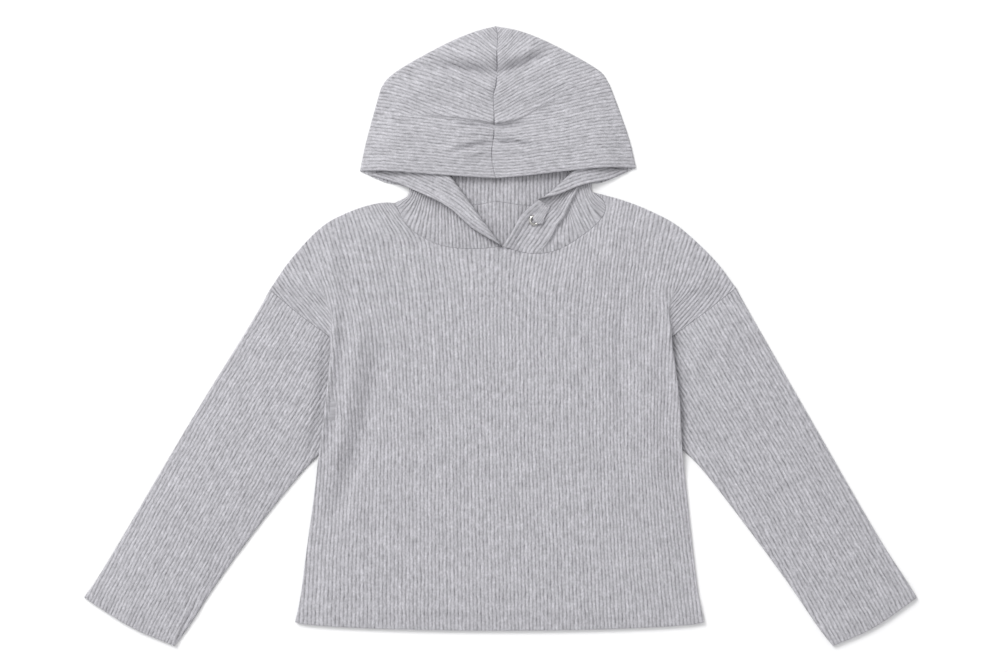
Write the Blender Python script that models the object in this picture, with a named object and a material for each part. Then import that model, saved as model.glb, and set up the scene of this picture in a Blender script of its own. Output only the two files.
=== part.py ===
"""A hooded rib-knit jumper laid flat, face up, with its hood spread above the neck.

Metres, +Z up. Y runs from the hem to the hood and X from one sleeve to the other. Left and right are as
seen from above with the hood at the top. The cloth rests on Z = 0, and the origin is the middle of the
jumper's outline. Each piece that is cut and sewn is one closed solid: the front and back panels, two
sleeves that are open flattened tubes, and two hood halves that fold over at the crown and at the neck.
Seams keep a gap of SEAM_GAP, and a layer that lies on another keeps the same gap above it.
"""

from collections import namedtuple
import math

import bmesh
import bpy
from mathutils.geometry import delaunay_2d_cdt
import numpy as np

# Driving sizes of the cloth.
CLOTH = 0.0020
SEAM_GAP = 0.0003
LAYER = CLOTH + SEAM_GAP
HEM_DEPTH = 0.025
HEM_EXTRA = 0.0010
HEM_FADE = 0.006
RIM_WIDTH = 0.0025
RIM_INSET = 0.0003

# How far the cloth stands off the layer under it, away from its edges.
BODY_CROWN = 0.0012
SLEEVE_CROWN = 0.0010
NECK_CROWN = 0.0013
HOOD_CROWN = 0.0010
CROWN_REACH = 0.045
NECK_CROWN_REACH = 0.009

# The side pleats, where the body lies over the tucked underarm of the sleeve.
PLEAT_LIFT = LAYER + 0.0004
PLEAT_TURN = 0.0010
PLEAT_REACH = 0.035
PLEAT_MARGIN = 0.002

# The hood's front layer clears the turned edges beside the neck.
HOOD_EDGE_LIFT = 0.0046
HOOD_CENTRE_LIFT = 0.0034
HOOD_LIFT_DEPTH = 0.062
HOOD_LIFT_FLAT = 0.026
HOOD_MIDDLE_HALF = 0.012
HOOD_MIDDLE_REACH = 0.030
HOOD_CORNER_REACH = 0.035

# How the turned hood edges come down to the corners.
TURNED_HEIGHT = 2 * LAYER
TURNED_LOW = 0.0010
TURNED_FALL_START = 0.100
TURNED_FALL_END = 0.136

# The bottom edge of the body hangs lower between its corners.
HEM_SAG = 0.010
HEM_ROUNDNESS = 0.6

# The spacing of points along the edges and inside the pieces.
EDGE_STEP = 0.016
NECK_EDGE_STEP = 0.002
NECK_RIM_SHORT = 6
FILL_STEP = 0.034
SMALL_FILL_STEP = 0.022
RIM_FILL_STEP = 1.0
CLEAR_OF_EDGE = 0.4
SHARPEST_MITRE = 0.35
SAME_POINT = 1e-5

EYELET_CENTRE = (0.041, 0.138)
EYELET_OUTER = 0.0060
EYELET_HOLE = 0.0024
EYELET_BARREL = 0.0034
EYELET_FLANGE = 0.0006
EYELET_ROLL = 0.0004
EYELET_CUT_PAST = 0.0006
EYELET_SIDES = 24
EYELET_SEAT = 0.0078
EYELET_SEAT_SIDES = 10

# Each row is one place on an edge: its distance out from the middle line and its height, on each side.
Place = namedtuple("Place", "name left_out left_y right_out right_y")

BODY_SIDE = [
    Place("hem corner", 0.2455, -0.3435, 0.2445, -0.3435),
    Place("hem stitching", 0.2390, -0.3120, 0.2380, -0.3120),
    Place("hip", 0.2315, -0.2540, 0.2305, -0.2540),
    Place("waist", 0.2235, -0.1970, 0.2245, -0.1970),
    Place("underarm", 0.2170, -0.1430, 0.2180, -0.1360),
]
PLEAT = [
    Place("underarm", 0.2170, -0.1430, 0.2180, -0.1360),
    Place("lower pleat", 0.2100, -0.0890, 0.2150, -0.0770),
    Place("upper pleat", 0.2040, -0.0300, 0.2085, -0.0250),
    Place("armhole crossing", 0.2030, -0.0020, 0.2060, -0.0010),
]
ARMHOLE_TUCKED = [
    Place("underarm", 0.2170, -0.1430, 0.2180, -0.1360),
    Place("tucked curve", 0.2010, -0.1280, 0.2030, -0.1220),
    Place("tucked middle", 0.1860, -0.0800, 0.1900, -0.0760),
    Place("tucked top", 0.1880, -0.0330, 0.1910, -0.0310),
    Place("armhole crossing", 0.2030, -0.0020, 0.2060, -0.0010),
]
ARMHOLE = [
    Place("armhole crossing", 0.2030, -0.0020, 0.2060, -0.0010),
    Place("armhole middle", 0.2400, 0.0250, 0.2420, 0.0250),
    Place("shoulder tip", 0.2760, 0.0550, 0.2830, 0.0570),
]
SHOULDER = [
    Place("shoulder tip", 0.2760, 0.0550, 0.2830, 0.0570),
    Place("shoulder cap", 0.2510, 0.0910, 0.2560, 0.0920),
    Place("shoulder bend", 0.2140, 0.1300, 0.2150, 0.1300),
    Place("shoulder slope", 0.1790, 0.1490, 0.1810, 0.1490),
    Place("shoulder hollow", 0.1450, 0.1590, 0.1480, 0.1620),
    Place("neck point", 0.1265, 0.1590, 0.1110, 0.1722),
]
FRONT_NECK = [
    Place("neck point", 0.1265, 0.1590, 0.1110, 0.1722),
    Place("neck pucker", 0.1215, 0.1500, 0.1245, 0.1610),
    Place("neck side", 0.1165, 0.1395, 0.1250, 0.1460),
    Place("neck turn", 0.1020, 0.1240, 0.1080, 0.1270),
    Place("neck front", 0.0700, 0.1080, 0.0700, 0.1030),
    Place("neck low", 0.0300, 0.1040, 0.0350, 0.0985),
    Place("neck middle", -0.0025, 0.1070, 0.0025, 0.1070),
]
BACK_NECK = [
    Place("neck point", 0.1265, 0.1590, 0.1110, 0.1722),
    Place("back neck side", 0.0860, 0.1550, 0.0860, 0.1580),
    Place("back neck low", 0.0340, 0.1560, 0.0340, 0.1560),
    Place("back neck middle", 0.0050, 0.1610, -0.0050, 0.1610),
]
SLEEVE_OUTER = [
    Place("shoulder tip", 0.2760, 0.0550, 0.2830, 0.0570),
    Place("upper arm", 0.2990, 0.0140, 0.3070, 0.0140),
    Place("elbow", 0.3700, -0.1010, 0.3730, -0.1010),
    Place("forearm", 0.4490, -0.2350, 0.4500, -0.2350),
    Place("cuff stitching", 0.4840, -0.2930, 0.4870, -0.2930),
    Place("cuff outer corner", 0.4990, -0.3140, 0.5000, -0.3140),
]
CUFF = [
    Place("cuff outer corner", 0.4990, -0.3140, 0.5000, -0.3140),
    Place("cuff middle", 0.4430, -0.3490, 0.4480, -0.3500),
    Place("cuff inner corner", 0.3900, -0.3720, 0.3990, -0.3720),
]
SLEEVE_INNER = [
    Place("cuff inner corner", 0.3900, -0.3720, 0.3990, -0.3720),
    Place("cuff seam", 0.3720, -0.3470, 0.3805, -0.3480),
    Place("inner forearm", 0.3370, -0.2930, 0.3430, -0.2930),
    Place("inner elbow", 0.2800, -0.2160, 0.2860, -0.2160),
    Place("inner upper arm", 0.2400, -0.1670, 0.2430, -0.1610),
    Place("underarm", 0.2170, -0.1430, 0.2180, -0.1360),
]
NECK_SIDE = [
    Place("neck point", 0.1265, 0.1590, 0.1110, 0.1722),
    Place("neck notch", 0.1110, 0.1672, 0.1097, 0.1765),
    Place("neck edge", 0.1090, 0.1762, 0.1100, 0.1812),
]
HOOD_LOWER_EDGE = [
    Place("neck edge", 0.1090, 0.1762, 0.1100, 0.1812),
    Place("lower edge start", 0.1210, 0.1806, 0.1225, 0.1835),
    Place("lower edge", 0.1380, 0.1838, 0.1375, 0.1893),
    Place("hood corner", 0.1680, 0.1970, 0.1630, 0.2010),
]
HOOD_FRONT_EDGE = [
    Place("hood corner", 0.1680, 0.1970, 0.1630, 0.2010),
    Place("front edge side", 0.1430, 0.1970, 0.1140, 0.2000),
    Place("front edge", 0.0580, 0.1910, 0.0410, 0.1920),
    Place("front edge middle", 0.0050, 0.1880, -0.0050, 0.1880),
]
HOOD_SIDE = [
    Place("hood corner", 0.1680, 0.1970, 0.1630, 0.2010),
    Place("hood lower side", 0.1610, 0.2300, 0.1550, 0.2350),
    Place("hood upper side", 0.1480, 0.2780, 0.1400, 0.2780),
    Place("hood shoulder", 0.1390, 0.3030, 0.1280, 0.3070),
]
HOOD_TOP = [
    Place("hood shoulder", 0.1390, 0.3030, 0.1280, 0.3070),
    Place("hood rise", 0.1160, 0.3220, 0.1130, 0.3220),
    Place("hood slope", 0.0650, 0.3500, 0.0620, 0.3500),
    Place("hood brow", 0.0290, 0.3650, 0.0250, 0.3650),
    Place("hood crown", 0.0050, 0.3710, -0.0050, 0.3710),
]
# The hood edge turns outward along this fold, from the neck on the left and from halfway up on the right.
# Its last place is under the hood's front layer.
TURN_FOLD = [
    Place("turn start", -0.0025, 0.1070, 0.0460, 0.1630),
    Place("turn middle", 0.0280, 0.1490, 0.0610, 0.1730),
    Place("turn at front edge", 0.0580, 0.1900, 0.0800, 0.1910),
    Place("turn end", 0.0800, 0.2140, 0.0950, 0.2080),
]
TURN_FREE_EDGE = [
    Place("turn start", -0.0025, 0.1070, 0.0460, 0.1630),
    Place("free edge low", 0.0330, 0.1280, 0.0710, 0.1690),
    Place("free edge middle", 0.0630, 0.1540, 0.0920, 0.1780),
    Place("free edge high", 0.1030, 0.1740, 0.1130, 0.1840),
    Place("free edge end", 0.1430, 0.1870, 0.1400, 0.1930),
]
# On the right the hood edge runs plain from the neck to where it turns outward.
PLAIN_EDGE = [
    Place("neck middle", -0.0025, 0.1070, 0.0025, 0.1070),
    Place("plain edge low", -0.0025, 0.1070, 0.0150, 0.1260),
    Place("plain edge middle", -0.0025, 0.1070, 0.0260, 0.1450),
    Place("turn start", -0.0025, 0.1070, 0.0460, 0.1630),
]
NECK_PANEL_TOP = [
    Place("turn end", 0.0800, 0.2140, 0.0950, 0.2080),
    Place("neck edge", 0.1090, 0.1762, 0.1100, 0.1812),
]

LEFT, RIGHT = -1, 1
NO_SEAT = np.empty((0, 2))


def smooth_step(amount):
    amount = np.clip(amount, 0.0, 1.0)
    return amount * amount * (3 - 2 * amount)


def knots(table, side):
    """The places of one side of a table, as plan points."""
    if side == LEFT:
        return np.array([(-place.left_out, place.left_y) for place in table])
    return np.array([(place.right_out, place.right_y) for place in table])


def edge(table, side, step=EDGE_STEP):
    """A smooth line through the places of a table, with a point about every step."""
    points = knots(table, side)
    ends = np.vstack([2 * points[0] - points[1], points, 2 * points[-1] - points[-2]])
    line = [points[0]]
    for before, start, end, after in zip(ends, ends[1:], ends[2:], ends[3:]):
        pieces = max(1, round(np.linalg.norm(end - start) / step))
        for t in np.arange(1, pieces + 1) / pieces:
            line.append(
                0.5 * (2 * start + (end - before) * t
                       + (2 * before - 5 * start + 4 * end - after) * t ** 2
                       + (3 * start - before - 3 * end + after) * t ** 3)
            )
    return np.array(line)


def hem_line(step=EDGE_STEP):
    """The bottom edge of the body, from the left corner to the right one."""
    left, right = knots(BODY_SIDE, LEFT)[0], knots(BODY_SIDE, RIGHT)[0]
    pieces = round((right[0] - left[0]) / step)
    along = np.linspace(-1.0, 1.0, pieces + 1)
    x = left[0] + (along + 1) / 2 * (right[0] - left[0])
    y = left[1] - HEM_SAG * (1 - along ** 2) ** HEM_ROUNDNESS
    return np.column_stack([x, y])


def joined(*lines):
    """One outline from lines that follow each other end to end, anticlockwise seen from above."""
    outline = np.vstack(lines)
    keep = np.linalg.norm(outline - np.roll(outline, 1, axis=0), axis=1) > SAME_POINT
    outline = outline[keep]
    following = np.roll(outline, -1, axis=0)
    area = np.sum(outline[:, 0] * following[:, 1] - outline[:, 1] * following[:, 0])
    return outline if area > 0 else outline[::-1]


def inset(outline, distance):
    """The outline moved in by a distance, with mitred corners."""
    along = np.roll(outline, -1, axis=0) - outline
    along /= np.linalg.norm(along, axis=1, keepdims=True)
    inward = np.column_stack([-along[:, 1], along[:, 0]])
    before = np.roll(inward, 1, axis=0)
    spread = np.maximum(1 + np.sum(inward * before, axis=1, keepdims=True), SHARPEST_MITRE)
    return outline + distance * (inward + before) / spread


def distance_to_line(points, line):
    """The distance of each plan point from a line of straight pieces."""
    start, along = line[:-1], np.diff(line, axis=0)
    offset = points[:, None, :] - start[None, :, :]
    share = np.sum(offset * along, axis=2) / np.sum(along * along, axis=1)
    nearest = offset - np.clip(share, 0, 1)[:, :, None] * along
    return np.sqrt(np.sum(nearest ** 2, axis=2)).min(axis=1)


def closed_line(outline):
    return np.vstack([outline, outline[:1]])


def inside(points, outline):
    """Whether each plan point is inside the outline."""
    x, y = points[:, :1], points[:, 1:]
    x1, y1 = outline[:, 0], outline[:, 1]
    x2, y2 = np.roll(outline, -1, axis=0).T
    rise = np.where(y2 == y1, 1.0, y2 - y1)
    crosses = ((y1 > y) != (y2 > y)) & (x < (x2 - x1) * (y - y1) / rise + x1)
    return crosses.sum(axis=1) % 2 == 1


def crown_of(line, height, reach):
    """Cloth that lies low along a line and stands height off what is under it beyond reach."""
    return lambda points: height * smooth_step(distance_to_line(points, line) / reach)


def fill_points(outline, step):
    low, high = outline.min(axis=0), outline.max(axis=0)
    columns = np.arange(low[0] + step / 2, high[0], step)
    rows = np.arange(low[1] + step / 2, high[1], step)
    grid = np.array([(x, y) for y in rows for x in columns]).reshape(-1, 2)
    grid = grid[inside(grid, outline)]
    return grid[distance_to_line(grid, closed_line(outline)) > CLEAR_OF_EDGE * step]


def cloth_mesh(name, outline, under, thickness, step, seat):
    """A closed wall of cloth over a plan outline: under gives its lower face, thickness what is added."""
    outline = inset(outline, SEAM_GAP / 2)
    plan = np.vstack([outline, fill_points(outline, step), seat])
    rim = list(range(len(outline)))
    points, _, faces, *_ = delaunay_2d_cdt([tuple(p) for p in plan], [], [rim], 1, 1e-9)
    plan = np.array([tuple(p) for p in points])
    low = under(plan)
    high = low + thickness(plan)
    count = len(plan)
    vertices = np.vstack([np.column_stack([plan, low]), np.column_stack([plan, high])])
    top = [tuple(i + count for i in face) for face in faces]
    bottom = [tuple(reversed(face)) for face in faces]
    walls = [(i, j, j + count, i + count) for i, j in zip(rim, rim[1:] + rim[:1])]
    mesh = bpy.data.meshes.new(name)
    mesh.from_pydata([tuple(v) for v in vertices], [], top + bottom + walls)
    shape = bmesh.new()
    shape.from_mesh(mesh)
    bmesh.ops.recalc_face_normals(shape, faces=shape.faces)
    bmesh.ops.triangulate(shape, faces=shape.faces)
    shape.to_mesh(mesh)
    shape.free()
    return mesh


def cloth_object(name, outline, under, thickness, step=FILL_STEP, seat=NO_SEAT):
    mesh = cloth_mesh(name, outline, under, thickness, step, seat)
    obj = bpy.data.objects.new(name, mesh)
    bpy.context.scene.collection.objects.link(obj)
    return obj


def flat(height):
    return lambda points: np.full(len(points), height)


def total(*shapes):
    return lambda points: sum(shape(points) for shape in shapes)


def hem_thickness(hem):
    """Plain cloth, thicker where the hem is turned up."""
    def thickness(points):
        near = 1 - smooth_step((distance_to_line(points, hem) - HEM_DEPTH) / HEM_FADE)
        return CLOTH + HEM_EXTRA * near
    return thickness


def fold_rim(name, line, low, high):
    """The bend that joins two layers along a fold, just inside both of them."""
    sides = np.diff(line, axis=0)
    sides = np.vstack([sides, sides[-1:]])
    sides /= np.linalg.norm(sides, axis=1, keepdims=True)
    inward = np.column_stack([-sides[:, 1], sides[:, 0]])
    outline = np.vstack([
        line[1:-1] + RIM_INSET * inward[1:-1],
        (line[1:-1] + (RIM_INSET + RIM_WIDTH) * inward[1:-1])[::-1],
    ])
    outline = joined(closed_line(outline))
    return cloth_object(name, outline, flat(low), flat(high - low), RIM_FILL_STEP)


def unite(main, helpers):
    """Joins the helpers to the main solid with Boolean unions."""
    for helper in helpers:
        helper.hide_render = True
        helper.display_type = "WIRE"
        union = main.modifiers.new(helper.name, "BOOLEAN")
        union.operation = "UNION"
        union.solver = "EXACT"
        union.object = helper
    return main


def make_back_panel():
    outline = joined(
        hem_line(),
        edge(BODY_SIDE, RIGHT), edge(ARMHOLE_TUCKED, RIGHT), edge(ARMHOLE, RIGHT),
        edge(SHOULDER, RIGHT), edge(BACK_NECK, RIGHT), edge(BACK_NECK, LEFT)[::-1],
        edge(SHOULDER, LEFT)[::-1], edge(ARMHOLE, LEFT)[::-1],
        edge(ARMHOLE_TUCKED, LEFT)[::-1], edge(BODY_SIDE, LEFT)[::-1],
    )
    return cloth_object("back_panel", outline, flat(0.0), hem_thickness(hem_line()))


def make_front_panel():
    outline = joined(
        hem_line(),
        edge(BODY_SIDE, RIGHT), edge(PLEAT, RIGHT), edge(ARMHOLE, RIGHT),
        edge(SHOULDER, RIGHT), edge(FRONT_NECK, RIGHT), edge(FRONT_NECK, LEFT)[::-1],
        edge(SHOULDER, LEFT)[::-1], edge(ARMHOLE, LEFT)[::-1],
        edge(PLEAT, LEFT)[::-1], edge(BODY_SIDE, LEFT)[::-1],
    )
    tucks = [joined(edge(PLEAT, side), edge(ARMHOLE_TUCKED, side)[::-1]) for side in (LEFT, RIGHT)]

    def over_tuck(points):
        shares = [
            np.where(inside(points, tuck), 0.0, distance_to_line(points, closed_line(tuck)))
            for tuck in tucks
        ]
        return 1 - smooth_step((np.minimum(*shares) - PLEAT_MARGIN) / PLEAT_REACH)

    def under(points):
        back = hem_thickness(hem_line())(points) + SEAM_GAP
        crown = crown_of(closed_line(outline), BODY_CROWN, CROWN_REACH)(points)
        return back + crown + PLEAT_LIFT * over_tuck(points)

    def thickness(points):
        return hem_thickness(hem_line())(points) + PLEAT_TURN * over_tuck(points)

    return cloth_object("front_panel", outline, under, thickness)


def make_sleeve(name, side):
    outer, inner, cuff = edge(SLEEVE_OUTER, side), edge(SLEEVE_INNER, side), edge(CUFF, side)
    outline = joined(
        outer, cuff, inner, edge(ARMHOLE_TUCKED, side), edge(ARMHOLE, side),
    )
    thickness = hem_thickness(cuff)
    crown = crown_of(closed_line(outline), SLEEVE_CROWN, CROWN_REACH)
    gap = flat(SEAM_GAP)
    under = cloth_object(name, outline, flat(0.0), thickness)
    over = cloth_object(name + "_top", outline, total(thickness, gap, crown), thickness)
    folds = [
        fold_rim(name + "_outer_fold", outer if side == LEFT else outer[::-1], RIM_INSET, 2 * CLOTH),
        fold_rim(name + "_inner_fold", inner if side == LEFT else inner[::-1], RIM_INSET, 2 * CLOTH),
    ]
    return unite(under, [over] + folds)


def turned_height(side):
    """The turned hood edge lies over the neck panel, and comes down to the back layer at the corner."""
    def height(points):
        out = side * points[:, 0]
        fall = (out - TURNED_FALL_START) / (TURNED_FALL_END - TURNED_FALL_START)
        return TURNED_HEIGHT + (TURNED_LOW - TURNED_HEIGHT) * smooth_step(fall)
    return height


def eyelet_seat():
    """A flat place for the eyelet in the cloth round it."""
    turns = 2 * math.pi * np.arange(EYELET_SEAT_SIDES) / EYELET_SEAT_SIDES
    ring = EYELET_SEAT * np.column_stack([np.cos(turns), np.sin(turns)])
    return np.array(EYELET_CENTRE) + ring


def make_hood_half(name, side):
    side_line, top_line = edge(HOOD_SIDE, side), edge(HOOD_TOP, side)
    outline_fold = np.vstack([side_line, top_line[1:]])
    neck_fold = edge(NECK_SIDE, side, NECK_EDGE_STEP)
    short = len(neck_fold) // NECK_RIM_SHORT
    neck_rim = neck_fold[short:len(neck_fold) - short]
    front_edge = edge(HOOD_FRONT_EDGE, side)
    turn_fold = edge(TURN_FOLD, side)
    plain_edge = edge(PLAIN_EDGE, side) if side == RIGHT else turn_fold[:1]
    crown_point, back_middle = top_line[-1:], edge(BACK_NECK, side)[-1:]
    front_middle = front_edge[-1:]

    back_outline = joined(
        edge(BACK_NECK, side)[::-1], neck_fold, edge(HOOD_LOWER_EDGE, side),
        side_line, top_line, np.vstack([crown_point, back_middle]),
    )
    front_outline = joined(
        side_line, top_line, np.vstack([crown_point, front_middle]), front_edge[::-1],
    )
    neck_outline = joined(
        edge(FRONT_NECK, side), plain_edge, turn_fold,
        edge(NECK_PANEL_TOP, side), neck_fold[::-1],
    )
    turned_end = np.vstack([edge(TURN_FREE_EDGE, side)[-1:], turn_fold[-1:]])
    turned_outline = joined(edge(TURN_FREE_EDGE, side), turned_end, turn_fold[::-1])

    def front_under(points):
        from_edge = distance_to_line(points, front_edge)
        near_edge = 1 - smooth_step((from_edge - HOOD_LIFT_FLAT) / HOOD_LIFT_DEPTH)
        off_fold = smooth_step(distance_to_line(points, outline_fold) / HOOD_CORNER_REACH)
        out = np.abs(points[:, 0] - crown_point[0, 0])
        off_middle = smooth_step((out - HOOD_MIDDLE_HALF) / HOOD_MIDDLE_REACH)
        lift = HOOD_CENTRE_LIFT + (HOOD_EDGE_LIFT - HOOD_CENTRE_LIFT) * off_middle
        crown = HOOD_CROWN * smooth_step(from_edge / CROWN_REACH)
        return LAYER + off_fold * (lift * near_edge + crown)

    neck_under = total(
        flat(LAYER), crown_of(closed_line(neck_outline), NECK_CROWN, NECK_CROWN_REACH)
    )
    fill = SMALL_FILL_STEP
    back = cloth_object(name, back_outline, flat(0.0), flat(CLOTH))
    front = cloth_object(name + "_front", front_outline, front_under, flat(CLOTH))
    seat = eyelet_seat() if side == RIGHT else NO_SEAT
    neck = cloth_object(name + "_neck", neck_outline, neck_under, flat(CLOTH), fill, seat)
    turned = cloth_object(name + "_turned", turned_outline, turned_height(side), flat(CLOTH), fill)
    folds = [
        fold_rim(name + "_crown_fold", outline_fold[::side], RIM_INSET, 2 * CLOTH),
        fold_rim(name + "_neck_fold", neck_rim[::side], RIM_INSET, 2 * CLOTH),
        fold_rim(name + "_turn_fold", turn_fold[::-side], LAYER + RIM_INSET, 3 * CLOTH),
    ]
    return unite(back, [front, neck, turned] + folds)


def turned_ring(name, profile, sides):
    """A ring turned about Z from a closed profile of (radius, height) corners."""
    mesh = bpy.data.meshes.new(name)
    shape = bmesh.new()
    turns = [2 * math.pi * i / sides for i in range(sides)]
    rings = [
        [shape.verts.new((r * math.cos(a), r * math.sin(a), z)) for r, z in profile] for a in turns
    ]
    for ring, following in zip(rings, rings[1:] + rings[:1]):
        for i in range(len(profile)):
            j = (i + 1) % len(profile)
            shape.faces.new((ring[i], following[i], following[j], ring[j]))
    bmesh.ops.recalc_face_normals(shape, faces=shape.faces)
    shape.to_mesh(mesh)
    shape.free()
    obj = bpy.data.objects.new(name, mesh)
    bpy.context.scene.collection.objects.link(obj)
    return obj


def cut_round_hole(obj, centre, radius, low, high):
    bpy.ops.mesh.primitive_cylinder_add(
        vertices=EYELET_SIDES, radius=radius, depth=high - low,
        location=(centre[0], centre[1], (low + high) / 2),
    )
    cutter = bpy.context.object
    cutter.name = obj.name + "_hole"
    cutter.hide_render = True
    cutter.display_type = "WIRE"
    cut = obj.modifiers.new("hole", "BOOLEAN")
    cut.operation = "DIFFERENCE"
    cut.solver = "EXACT"
    cut.object = cutter


def make_eyelet(hood_right):
    """A two-sided metal eyelet through the casing of the hood, clear of the cloth all round."""
    cloth_under = LAYER + NECK_CROWN
    cloth_over = cloth_under + CLOTH
    low, high = cloth_under - SEAM_GAP, cloth_over + SEAM_GAP
    cut_low, cut_high = cloth_under - EYELET_CUT_PAST, cloth_over + EYELET_CUT_PAST
    cut_round_hole(hood_right, EYELET_CENTRE, EYELET_BARREL + SEAM_GAP, cut_low, cut_high)
    profile = [
        (EYELET_HOLE, low - EYELET_FLANGE), (EYELET_OUTER, low - EYELET_FLANGE),
        (EYELET_OUTER, low), (EYELET_BARREL, low), (EYELET_BARREL, high), (EYELET_OUTER, high),
        (EYELET_OUTER - EYELET_ROLL, high + EYELET_FLANGE),
        (EYELET_BARREL, high + EYELET_FLANGE + EYELET_ROLL), (EYELET_HOLE, high + EYELET_FLANGE),
    ]
    eyelet = turned_ring("eyelet", profile, EYELET_SIDES)
    eyelet.location = (EYELET_CENTRE[0], EYELET_CENTRE[1], 0.0)
    return eyelet


def material(name, colour, roughness, metallic):
    made = bpy.data.materials.new(name)
    made.use_nodes = True
    shader = made.node_tree.nodes["Principled BSDF"]
    shader.inputs["Base Color"].default_value = (*colour, 1.0)
    shader.inputs["Roughness"].default_value = roughness
    shader.inputs["Metallic"].default_value = metallic
    return made


def plan_middle():
    """The middle of the box round the whole outline."""
    lines = [
        edge(table, side)
        for table in (SLEEVE_OUTER, CUFF, SLEEVE_INNER, HOOD_SIDE, HOOD_TOP)
        for side in (LEFT, RIGHT)
    ]
    points = np.vstack(lines)
    return (points.min(axis=0) + points.max(axis=0)) / 2


def clear_scene():
    for obj in list(bpy.data.objects):
        bpy.data.objects.remove(obj)


def main():
    clear_scene()
    cloth = [
        make_back_panel(),
        make_front_panel(),
        make_sleeve("sleeve_left", LEFT),
        make_sleeve("sleeve_right", RIGHT),
        make_hood_half("hood_left", LEFT),
        make_hood_half("hood_right", RIGHT),
    ]
    eyelet = make_eyelet(cloth[-1])
    knit = material("grey_rib_knit", (0.50, 0.50, 0.53), 0.95, 0.0)
    metal = material("silver_metal", (0.80, 0.80, 0.80), 0.25, 1.0)
    for obj in cloth:
        obj.data.materials.append(knit)
    eyelet.data.materials.append(metal)
    middle = plan_middle()
    for obj in bpy.data.objects:
        obj.location.x -= middle[0]
        obj.location.y -= middle[1]


main()
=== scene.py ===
"""The looks of a hooded rib-knit jumper that lies flat, face up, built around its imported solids.

Metres, +Z up. Y runs from the hem to the hood and X from one sleeve to the other. Left and right are as
seen from above with the hood at the top. The tables of places repeat the cut of the CAD solids, and every
point is moved by the middle of that plan before it becomes a mesh.

Each cut piece is one mesh of one or more layers of cloth, and each layer is a closed shell whose faces
share their edge. The ribs are geometry. A rib field counts the ribs across a face: a whole number is a
groove and a half is a ridge. The face's points lie on lines of equal count, so that every facet runs along
a rib, and the count and the distance along the rib are kept as the map "knit" for the material.
"""

from collections import namedtuple
import math

import bpy
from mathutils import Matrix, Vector
from mathutils.geometry import delaunay_2d_cdt
from mathutils.kdtree import KDTree
import numpy as np


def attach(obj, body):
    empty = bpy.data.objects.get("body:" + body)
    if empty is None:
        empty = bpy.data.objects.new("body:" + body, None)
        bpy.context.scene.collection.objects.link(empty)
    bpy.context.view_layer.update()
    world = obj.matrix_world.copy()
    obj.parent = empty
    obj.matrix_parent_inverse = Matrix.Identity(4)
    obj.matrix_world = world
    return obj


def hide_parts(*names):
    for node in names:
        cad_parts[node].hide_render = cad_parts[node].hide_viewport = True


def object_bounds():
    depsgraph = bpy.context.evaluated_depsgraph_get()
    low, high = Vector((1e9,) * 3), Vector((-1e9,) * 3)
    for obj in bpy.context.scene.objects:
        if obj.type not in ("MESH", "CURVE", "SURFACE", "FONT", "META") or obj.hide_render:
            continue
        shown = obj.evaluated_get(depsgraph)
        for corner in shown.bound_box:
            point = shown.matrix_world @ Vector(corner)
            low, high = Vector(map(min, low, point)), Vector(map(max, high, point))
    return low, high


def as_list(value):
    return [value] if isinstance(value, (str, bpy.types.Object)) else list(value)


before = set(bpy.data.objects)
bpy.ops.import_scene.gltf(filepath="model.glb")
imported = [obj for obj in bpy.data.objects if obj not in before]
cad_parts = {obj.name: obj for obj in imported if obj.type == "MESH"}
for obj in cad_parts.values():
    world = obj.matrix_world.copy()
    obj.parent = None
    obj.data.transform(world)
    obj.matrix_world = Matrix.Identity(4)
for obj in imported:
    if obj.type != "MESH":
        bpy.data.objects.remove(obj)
cad_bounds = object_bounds()

MM = 0.001

# Sizes of the cloth and how high its layers stand, as in the solids where they have them.
CLOTH = 0.0020
SEAM_GAP = 0.0003
THINNEST_WALL = 0.0012
LAYER = CLOTH + SEAM_GAP
HEM_DEPTH = 0.025
HEM_EXTRA = 0.0010
HEM_FADE = 0.006
BODY_CROWN = 0.0042
SLEEVE_CROWN = 0.0034
NECK_CROWN = 0.0010
HOOD_CROWN = 0.0040
HOOD_CROWN_REACH = 0.090
CROWN_REACH = 0.045
NECK_CROWN_REACH = 0.009
PLEAT_LIFT = LAYER + 0.0004
PLEAT_TURN = 0.0010
PLEAT_REACH = 0.035
PLEAT_MARGIN = 0.002
HOOD_EDGE_LIFT = 0.0086
HOOD_CENTRE_LIFT = 0.0056
HOOD_LIFT_DEPTH = 0.062
HOOD_LIFT_FLAT = 0.026
HOOD_MIDDLE_HALF = 0.012
HOOD_MIDDLE_REACH = 0.030
HOOD_CORNER_REACH = 0.035
TURNED_HEIGHT = 0.0064
TURNED_LOW = 0.0022
TURNED_FALL_START = 0.104
TURNED_FALL_END = 0.150
HEM_SAG = 0.010
HEM_ROUNDNESS = 0.6
EDGE_STEP = 0.008
NECK_STEP = 0.004
SAME_POINT = 1e-5
SHARPEST_MITRE = 0.35
POINTS_AT_ONCE = 8000

EYELET_CENTRE = (0.041, 0.138)

# The ribs and how finely they are meshed.
RIB_PITCH = 0.00432
RIB_DEPTH = 0.0012
RIB_ROUNDNESS = 0.65
FINE_COLUMNS = 6
FINE_ROW = 0.0055
PLAIN_COLUMNS = 4
PLAIN_ROW = 0.008
SAMPLE_STEP = 0.0005
COARSE_STEP = 0.013
LEAST_STEP = 0.0004
NEAR_RING = 0.55
PLAIN_SPREAD = 0.08
# A cut, where the count of the ribs jumps: its half-width, how far points keep clear of it, over what
# distance the ribs fade out at it, and its step.
CUT_HALF = 0.00045
CUT_CLEAR = 0.0009
CUT_FADE = 0.0022
CUT_STEP = 0.0014
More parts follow.
